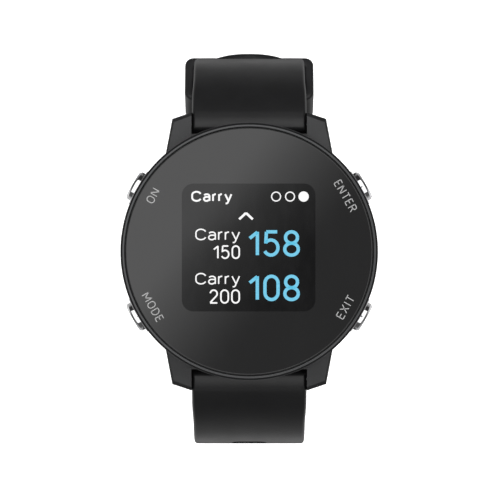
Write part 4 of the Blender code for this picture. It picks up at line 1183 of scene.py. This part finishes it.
def knob_slot(half):
    """The slot under a spring bar that its release knob slides in."""
    return plate(KNOB_WIDTH, KNOB_LENGTH, KNOB_CORNER, -2 * half, KNOB_TOP, KNOB_PLACE)


print("strap width:", STRAP_WIDTH, "mm")

# %% [markdown]
# Bending moves the vertices only, so the slots and their mouths follow. It also sets the two faces
# of the strap. Near the spring bar the strap is thicker and a little wider, to fill the room
# between the lugs, its end is round, and its outer face has a low crown over the bar. From there it
# eases to its plain thickness. The bar's bore is cut after bending, so that it stays round.

# %% Bending
BEND_STEP, FINE_STEP, FINE_HEAD = 0.7, 0.7 / 6, 5.0
LUG_FILL, FILL_END, FILL_EASE = 0.185, 4.5, 6.0
END_POWER, END_EASE = 2.6, 12.0
BAR_BORE, BUCKLE_BORE, BORE_SIDES = 0.95, 0.75, 32
HEAD_RADIUS, HEAD_RISE, HEAD_SHIFT, HEAD_LENGTH, HEAD_SOFT = 3.8, 1.66, 0.40, 1.8, 0.2


def bend(bm, path, half, faces_at):
    """Lays a flat blank along a path. faces_at gives its inner and outer face at a distance."""
    for vert in bm.verts:
        if abs(vert.co.x) > STRAP_WIDTH / 2 - 1:
            fill = LUG_FILL * (1 - smooth((vert.co.y - FILL_END) / FILL_EASE))
            vert.co.x += math.copysign(fill, vert.co.x)
        place, spoke = path.at(vert.co.y)
        inner, outer = faces_at(vert.co.y)
        offset = (outer + inner) / 2 + vert.co.z / half * (outer - inner) / 2
        side = place + offset * spoke
        vert.co = (vert.co.x, side.x, side.y)
    return tidy(bm)


def stations(start, end, fine_end):
    """Distances of the cross cuts, closer together over the round ends."""
    found, distance = [], start
    while distance < end:
        close = distance < start + FINE_HEAD or distance > end - fine_end
        distance += FINE_STEP if close else BEND_STEP
        found.append(distance)
    return [d for d in found if d < end - NEAR]


def smooth(share):
    """A smooth step from 0 to 1."""
    share = min(1.0, max(0.0, share))
    return share * share * (3 - 2 * share)


def round_end(beyond, radius, power=2.0):
    """Half the thickness at a distance beyond the middle of a round end."""
    return radius * max(0.0, 1 - abs(beyond / radius) ** power) ** (1 / power)


def eased_half(distance, plain):
    """Half the thickness near the spring bar: a round end that eases to the plain strap."""
    if distance < 0:
        return round_end(distance, BAR_END, END_POWER)
    return BAR_END + (plain - BAR_END) * smooth(distance / END_EASE)


def soft_min(first, second):
    """The lesser of two values, blended where they are close."""
    close = max(0.0, 1 - abs(first - second) / HEAD_SOFT)
    return min(first, second) - close * close * HEAD_SOFT / 4


def head_face(path, distance, outer):
    """The outer face near the spring bar: a low crown that runs out into the plain strap."""
    if distance > HEAD_LENGTH:
        return outer
    place, spoke = path.at(distance)
    bar = path.at(0)[0]
    middle = bar + Vector((math.copysign(HEAD_SHIFT, -bar.x), HEAD_RISE - HEAD_RADIUS))
    along = (place - middle).dot(spoke)
    crown = math.sqrt(HEAD_RADIUS**2 - (place - middle).length_squared + along**2) - along
    low = soft_min(crown, outer)
    return low + (outer - low) * smooth(distance / HEAD_LENGTH)


def cross_bore(bm, bar, radius):
    """Bores a bent strap across, for a bar through a place seen from the side."""
    rod = prism(radius, 2 * STRAP_WIDTH, BORE_SIDES)
    return carved(bm, placed(rod, Matrix.Translation((0, *bar)) @ ACROSS))


print("a bend has an edge every", BEND_STEP, "mm")

# %% [markdown]
# The upper half ends round the buckle's bar. There it swells inwards, and a gap in its end leaves
# room for the tongue.

# %% Upper strap
SWELL_LENGTH = 6.0
GAP_WIDTH, GAP_LENGTH, GAP_CORNER, GAP_DEPTH = 4.8, 6.0, 0.4, 1.9
upper_end = upper_path.length + BUCKLE_END


def upper_faces(distance):
    """The inner and outer face of the upper strap, from its path."""
    half = eased_half(distance, STRAP_HALF)
    left = upper_path.length - distance
    if left < 0:
        half, sink = round_end(left, BUCKLE_END), STRAP_HALF - BUCKLE_END
        return sink - half, sink + half
    swell = 2 * (BUCKLE_END - STRAP_HALF) * smooth(1 - left / SWELL_LENGTH)
    return -half - swell, head_face(upper_path, distance, half)


upper = blank(-BAR_END, upper_end, STRAP_HALF, 0)
gap_place = (0, upper_path.length - GAP_DEPTH + GAP_LENGTH / 2)
tongue_gap = plate(GAP_WIDTH, GAP_LENGTH, GAP_CORNER, -THROUGH, THROUGH, gap_place)
upper = carved(carved(upper, tongue_gap), knob_slot(STRAP_HALF))
round_mouths(upper, STRAP_HALF)
cross_cut(upper, stations(-BAR_END, upper_end, 2.0))
bend(upper, upper_path, STRAP_HALF, upper_faces)
upper = cross_bore(cross_bore(upper, UPPER_BAR, BAR_BORE), buckle_bar, BUCKLE_BORE)
add_piece("strap_upper_half", upper, strap_rubber, "strap_upper", ["strap_upper"])

# %% [markdown]
# The lower half carries the row of fastening slots. One of them sits on the tongue, three lie
# towards the tip, and the rest run back under the watch, a pitch apart.

# %% Lower strap
SLOT_PITCH, SLOT_LENGTH, SLOT_WIDTH, SLOT_COUNT, FREE_SLOTS = 6.0, 6.4, 3.1, 18, 3
SLOT_BEFORE_BAR, TIP_ROUND = 1.85, 9.3
tongue_slot = lower_path.length - (BUCKLE_TURN - TAIL_TURN) * TAIL_SWING - SLOT_BEFORE_BAR
slot_places = [tongue_slot + (FREE_SLOTS - number) * SLOT_PITCH for number in range(SLOT_COUNT)]


def lower_faces(distance):
    """The inner and outer face of the lower strap, from its path."""
    half = eased_half(distance, TAIL_HALF)
    return -half, head_face(lower_path, distance, half)


lower = blank(-BAR_END, lower_path.length, TAIL_HALF, TIP_ROUND)
cross_cut(lower, sorted(slot_places + [place + SLOT_PITCH / 2 for place in slot_places]))
slot_corner = SLOT_WIDTH / 2 - 0.001
slots = [
    plate(SLOT_LENGTH, SLOT_WIDTH, slot_corner, -THROUGH, THROUGH, (0, place), 9)
    for place in slot_places
]
lower = carved(carved(lower, joined(slots)), knob_slot(TAIL_HALF))
round_mouths(lower, TAIL_HALF)
cross_cut(lower, stations(-BAR_END, lower_path.length, 1.0))
bend(lower, lower_path, TAIL_HALF, lower_faces)
lower = cross_bore(lower, LOWER_BAR, BAR_BORE)
add_piece("strap_lower_half", lower, strap_rubber, "strap_lower", ["strap_lower"])

# %% [markdown]
# The keeper is a moulded loop that slides along the upper strap. Its section is a rounded rectangle
# with a rounded hole, and it curves with the strap, so the section is spun a few degrees about the
# lower spring bar. Its two rims are then rounded.

# %% Keeper
KEEPER_INNER, KEEPER_OUTER, KEEPER_WALL, KEEPER_HALF = 59.0, 64.5, 1.75, 10.3
KEEPER_START, KEEPER_SWEEP, KEEPER_STEPS = math.radians(27), 8.0 / 61.75, 12
KEEPER_CORNER, KEEPER_HOLE_CORNER, KEEPER_RIM = 1.6, 0.5, 0.55
STEEP, SAME_TURN = math.radians(60), 1e-5


def keeper_outline(bm, half_width, low, high, corner):
    """An outline in the plane of X and the height over the lower bar, as a loop of edges."""
    corners = [(-half_width, low), (half_width, low), (half_width, high), (-half_width, high)]
    face = bm.faces.new([bm.verts.new((x, y, 0)) for x, y in corners])
    bevel(bm, face.verts[:], corner, "VERTICES", 6)


keeper = bmesh.new()
keeper_outline(
    keeper,
    KEEPER_HALF + KEEPER_WALL,
    KEEPER_INNER - KEEPER_WALL,
    KEEPER_OUTER + KEEPER_WALL,
    KEEPER_CORNER,
)
keeper_outline(keeper, KEEPER_HALF, KEEPER_INNER, KEEPER_OUTER, KEEPER_HOLE_CORNER)
bmesh.ops.delete(keeper, geom=keeper.faces[:], context="FACES_ONLY")
bmesh.ops.bridge_loops(keeper, edges=keeper.edges[:])
first_spoke = spoke_at(-KEEPER_START)
upright = Matrix(
    (
        (1, 0, 0, 0),
        (0, first_spoke.x, 0, LOWER_BAR.x),
        (0, first_spoke.y, 0, LOWER_BAR.y),
        (0, 0, 0, 1),
    )
)
for vert in keeper.verts:
    vert.co = upright @ vert.co
bmesh.ops.spin(
    keeper,
    geom=keeper.verts[:] + keeper.edges[:] + keeper.faces[:],
    cent=(0, *LOWER_BAR),
    axis=(-1, 0, 0),
    dvec=(0, 0, 0),
    angle=KEEPER_SWEEP,
    steps=KEEPER_STEPS,
)
tidy(keeper)
ends = (-KEEPER_START, -KEEPER_START - KEEPER_SWEEP)
rims = []
for edge in keeper.edges:
    turns = [angle_from(LOWER_BAR, Vector(v.co.yz)) for v in edge.verts]
    at_end = any(all(abs(turn - end) < SAME_TURN for turn in turns) for end in ends)
    if at_end and edge.calc_face_angle(0.0) > STEEP:
        rims.append(edge)
bevel(keeper, rims, KEEPER_RIM, "EDGES")
add_piece("keeper_loop", tidy(keeper), keeper_rubber, "keeper", ["strap_keeper"])

# %% [markdown]
# The buckle is a U-shaped frame that swings on a pin through the end of the upper strap. It is cut
# from a flat outline with bevelled corners, in a frame of axes that stands on the pin: Y runs on
# along the loop, and Z points out of it. The frame is tilted until its crossbar just clears the
# tail.

# %% Buckle frame and pin
FRAME_LENGTH, FRAME_BAR, FRAME_THICK, FRAME_INNER, FRAME_OUTER = 8.7, 2.8, 2.0, 10.6, 12.0
FRAME_HALF, FRAME_EDGE, TAIL_ROOM = FRAME_THICK / 2, 0.4, 0.3
FRAME_ROUNDS = [0.6, 0.6, 0.8, 0.8, 0.6, 0.6, 3.0, 3.0]
PIN_HALF, PIN_RADIUS, PIN_ROUND = 11.7, 0.6, 0.12
bar_frame = Matrix(
    (
        (1, 0, 0, 0),
        (0, buckle_spoke.y, buckle_spoke.x, buckle_bar.x),
        (0, -buckle_spoke.x, buckle_spoke.y, buckle_bar.y),
        (0, 0, 0, 1),
    )
)
corner = Vector((FRAME_LENGTH, -FRAME_HALF))
clear = TAIL_SWING + TAIL_HALF + TAIL_ROOM
rise = (clear**2 - BUCKLE_SWING**2 - corner.length_squared) / (2 * BUCKLE_SWING * corner.length)
tilt = math.asin(rise) - math.atan2(corner.y, corner.x)
tilted = bar_frame @ Matrix.Rotation(tilt, 4, "X")


def cut_from_flat(outline, roundings, vec, edge_round, axis):
    """Rounds an outline's corners, raises its face along a vector, and rounds the rims."""
    bm = bmesh.new()
    verts = [bm.verts.new(point) for point in outline]
    bm.faces.new(verts)
    round_corners(bm, verts, roundings, 8)
    raised(bm, bm.faces[:], vec)
    rim = [e for e in bm.edges if abs(e.verts[0].co[axis] - e.verts[1].co[axis]) < WELD]
    bevel(bm, rim, edge_round, "EDGES", 3)
    return tidy(bm)


far = FRAME_LENGTH + FRAME_BAR
frame_corners = [
    (-FRAME_OUTER, -FRAME_HALF),
    (-FRAME_INNER, -FRAME_HALF),
    (-FRAME_INNER, FRAME_LENGTH),
    (FRAME_INNER, FRAME_LENGTH),
    (FRAME_INNER, -FRAME_HALF),
    (FRAME_OUTER, -FRAME_HALF),
    (FRAME_OUTER, far),
    (-FRAME_OUTER, far),
]
frame_outline = [(x, y, -FRAME_HALF) for x, y in frame_corners]
buckle = cut_from_flat(frame_outline, FRAME_ROUNDS, (0, 0, FRAME_THICK), FRAME_EDGE, 2)
add_piece("buckle_loop", placed(buckle, tilted), dark_steel, "buckle", ["buckle_frame"])
pin = placed(disc(PIN_RADIUS, -PIN_HALF, PIN_HALF, PIN_ROUND), bar_frame @ ACROSS)
add_piece("buckle_pin", pin, dark_steel, "buckle", ["buckle_bar"])

# %% [markdown]
# A bent flat tongue turns on the same pin, comes up through a slot of the tail and lies on the
# frame's crossbar. Seen from the side it is a bent line of even thickness, so its outline is drawn
# as a spine with an offset to both sides, and raised across the strap. A turned eye joins it to the
# pin.

# %% Buckle tongue
TONGUE_HALF, TONGUE_EYE, EYE_BORE, TONGUE_SIDE, TONGUE_EDGE = 0.55, 1.3, 0.75, 2.1, 0.22
TONGUE_BENDS = [0, 0.4, 0.6, 0.5, 0.6, 1.2, 0.45]
SPINE_START, EYE_ROOM, LIE_ROOM, TIP_REACH = 0.9, 0.5, 0.15, 0.8
lead = TONGUE_EYE + TONGUE_HALF + EYE_ROOM
tail_low = TAIL_SWING - TAIL_HALF - BUCKLE_SWING
tail_high = TAIL_SWING + TAIL_HALF - BUCKLE_SWING
on_frame = FRAME_HALF + LIE_ROOM + TONGUE_HALF
to_frame = Matrix.Rotation(tilt, 2)
spine = [
    Vector((SPINE_START, tail_low / 4)),
    Vector((lead - TONGUE_HALF, tail_low / 2)),
    Vector((lead, tail_low)),
    Vector((lead, tail_high)),
    Vector((lead + 2 * TONGUE_HALF, tail_high + TAIL_ROOM + TONGUE_HALF)),
    to_frame @ Vector((FRAME_LENGTH, on_frame)),
    to_frame @ Vector((far + TIP_REACH, on_frame)),
]
steps = [(after - before).normalized() for before, after in zip(spine, spine[1:])]
left, right = [], []
for point, before, after in zip(spine, steps[:1] + steps, steps + steps[-1:]):
    onward = (before + after).normalized()
    aside = Vector((-onward.y, onward.x)) * TONGUE_HALF
    left.append(point + aside)
    right.append(point - aside)
tongue_outline = [(-TONGUE_SIDE, *point) for point in right + left[::-1]]
roundings = TONGUE_BENDS + TONGUE_BENDS[::-1]
tongue = cut_from_flat(tongue_outline, roundings, (2 * TONGUE_SIDE, 0, 0), TONGUE_EDGE, 0)
eye_corners = [
    (EYE_BORE, TONGUE_SIDE, 0.1),
    (TONGUE_EYE, TONGUE_SIDE, 0.2),
    (TONGUE_EYE, -TONGUE_SIDE, 0.2),
    (EYE_BORE, -TONGUE_SIDE, 0.1),
]
tongue = joined([tongue, placed(turned(eye_corners, SMALL_STEPS), ACROSS)])
tongue = placed(tongue, bar_frame)
add_piece("buckle_prong", tongue, dark_steel, "tongue", ["buckle_tongue"])

# %% [markdown]
# The solids that stay are out of sight or already have the right shape. Each gets a finish by its
# kind, because the watch may be opened or posed.

# %% Finishes for the solids that stay
BY_NAME = {
    "gasket": seal_rubber,
    "_seal": seal_rubber,
    "_clip": dark_steel,
    "switch": inner_resin,
    "battery": battery_foil,
    "main_board": board_mask,
    "shield_can": polished_steel,
    "gps_antenna": antenna_ceramic,
    "display_carrier": inner_resin,
    "display_panel": window_glass,
    "spring_bar": polished_steel,
    "release_pin": polished_steel,
    "button": polished_steel,
}
for name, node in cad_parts.items():
    if not node.hide_render:
        finish = next(made for word, made in BY_NAME.items() if word in name)
        node.data.materials.clear()
        node.data.materials.append(finish)
print("solids shown:", sum(not node.hide_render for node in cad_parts.values()))

# %% [markdown]
# The photograph looks straight down from about half a metre. A long lens at that distance gives the
# same slight perspective, so that the lower parts of the loop stay hidden behind the dial. The
# picture is square.

# %% Camera
CAMERA_HEIGHT, FIELD, SENSOR = 0.510, 0.0872, 36.0
DIAL_HEIGHT, AIM_X, AIM_Y = 62.57 * MM, 0.00014, 0.00026
camera = bpy.data.objects.new("camera", bpy.data.cameras.new("camera"))
scene.collection.objects.link(camera)
camera.location = (AIM_X, AIM_Y, DIAL_HEIGHT + CAMERA_HEIGHT)
camera.data.sensor_width = SENSOR
camera.data.lens = SENSOR * CAMERA_HEIGHT / FIELD
scene.camera = camera
print("lens:", round(camera.data.lens, 1), "mm")

# %% [markdown]
# The floor is plain and pale. It glows a little, so that it prints white with only a faint shadow
# under the strap. Rays that leave the watch pass through it, because a floor this bright would
# light every underside like a lamp. A far wall that only the camera sees carries the white up
# behind the watch in low views.

# %% Floor and wall
WALL_RADIUS, WALL_HEIGHT, FLOOR_Z = 3.0, 8.0, -0.00002
WHITE, PALE, BLACK = (1, 1, 1, 1), (0.9, 0.9, 0.9, 1), (0, 0, 0, 1)
FLOOR_GLOW, WALL_SIDES = 0.60, 96


def add_stage(name, bm, paint, hidden_from):
    """A piece of the stage, hidden from some kinds of ray."""
    mesh = bpy.data.meshes.new(name)
    bm.to_mesh(mesh)
    bm.free()
    mesh.materials.append(paint)
    item = bpy.data.objects.new(name, mesh)
    scene.collection.objects.link(item)
    for kind in hidden_from:
        setattr(item, f"visible_{kind}", False)
    print("stage:", name)


def level_square(half, height):
    """A level square of the stage, in metres."""
    bm = bmesh.new()
    bmesh.ops.create_grid(bm, x_segments=1, y_segments=1, size=half)
    bmesh.ops.translate(bm, verts=bm.verts, vec=(0, 0, height))
    return bm


floor_paint, _ = new_finish(
    "floor_paint",
    Base_Color=PALE,
    Roughness=0.9,
    Emission_Color=WHITE,
    Emission_Strength=FLOOR_GLOW,
)
add_stage("floor", level_square(WALL_RADIUS, FLOOR_Z), floor_paint, ["glossy", "diffuse"])
wall_paint, _ = new_finish(
    "wall_paint", Base_Color=BLACK, Emission_Color=WHITE, Emission_Strength=1.0
)
tube = prism(WALL_RADIUS, WALL_HEIGHT, WALL_SIDES, capped=False)
add_stage("wall", tube, wall_paint, ["glossy", "diffuse", "shadow"])

# %% [markdown]
# Above the camera hangs a wide card of soft light. A flat lens shows only the small patch of it
# straight above, so the patch is shaded from light at the upper left to dark at the lower right,
# which draws the broad reflection across the glass. Round the patch lies a bright ring, for the
# parts that lean outwards a little, and beyond it the light differs towards the far side, the near
# side and the two flanks, so that the strap's shoulders take their own tones.

# %% Light card
CARD_HEIGHT, CARD_HALF = 0.625, 0.66
RING_LIGHT, FAR_LIGHT, NEAR_LIGHT, SIDE_LIGHT = 1.75, 1.9, 1.5, 1.7
PATCH_DARK, PATCH_LIGHT, PATCH_BEND = 0.15, 1.92, 1.3
PATCH_WAY, PATCH_REACH = (0.794, -0.608), (-0.0222, 0.018)
RING_START, RING_END = (0.066, 0.095), (0.13, 0.28)
FLANK, DEPTH = (0.09, 0.20), (-0.25, 0.10)


def make_card_light():
    """Light whose brightness differs over the card."""
    made, place = new_finish(
        "card_light", Base_Color=BLACK, Emission_Strength=1.0, Specular_IOR_Level=0.0
    )
    x, y, _ = place.split()
    across = x * PATCH_WAY[0] + y * PATCH_WAY[1]
    ends = dict(enumerate((across, *PATCH_REACH, 1.0, 0.0)))
    share = across.node("ShaderNodeMapRange", None, ends)
    patch = share.math("POWER", share, PATCH_BEND) * (PATCH_LIGHT - PATCH_DARK) + PATCH_DARK
    radius = x.math("SQRT", x * x + y * y)
    outside, beyond = radius.clamped(*RING_START), radius.clamped(*RING_END)
    flank = x.math("ABSOLUTE", x).clamped(*FLANK)
    spread = y.clamped(*DEPTH, NEAR_LIGHT, FAR_LIGHT) * (1 - flank) + flank * SIDE_LIGHT
    level = patch * (1 - outside) + outside * ((1 - beyond) * RING_LIGHT + beyond * spread)
    return feed(made, Emission_Color=level.grey())


card = level_square(CARD_HALF, CARD_HEIGHT)
add_stage("light_card", card, make_card_light(), ["camera", "shadow"])

# %% [markdown]
# A very soft sun lights what is matt and lays the faint shadow. The room itself is dark at eye
# level, where the strap turns away from the card, and light below, where the real strap picks up
# its pale table. A little light comes from low down on the left and the right, so that the strap's
# flanks keep their form.

# %% Sky and room
SKY_LIGHT, SKY_SPREAD, SKY_TILT = 5.0, math.radians(120), math.radians(-22)
ROOM_LOW, ROOM_HIGH, ROOM_NEARER = 0.66, 0.07, 0.6
TABLE_RISE, TABLE_END, TABLE_NEARER = (-0.85, -0.02), (-0.985, -0.86), 0.10
FLANK_LIGHT, FLANK_RISE, FLANK_WAY = 0.55, (-0.32, -0.05), (0.35, 0.9)

sky = bpy.data.lights.new("sky", "SUN")
sky.energy, sky.angle = SKY_LIGHT, SKY_SPREAD
sky_light = bpy.data.objects.new("sky", sky)
scene.collection.objects.link(sky_light)
sky_light.rotation_euler = (SKY_TILT, 0, 0)
sky_light.visible_glossy = False

world = bpy.data.worlds.new("room")
scene.world = world
world.use_nodes = True
tree = world.node_tree
way = Wire(tree, tree.nodes.new("ShaderNodeTexCoord").outputs["Generated"])
width, depth, height = way.split()
above_table = height.clamped(*TABLE_END)
table = height.clamped(*TABLE_RISE, 1.0, 0.0) * above_table * (1 - depth * TABLE_NEARER)
sideways = width.math("ABSOLUTE", width).clamped(*FLANK_WAY)
flank = sideways * height.clamped(*FLANK_RISE, FLANK_LIGHT, 0.0)
room = (1 - depth * ROOM_NEARER) * ROOM_HIGH
glow = table * (ROOM_LOW - ROOM_HIGH) + room + flank * above_table
tree.links.new(glow.grey().socket, tree.nodes["Background"].inputs["Color"])
scene.view_settings.view_transform = "Standard"
print("lights: card, sky and room")
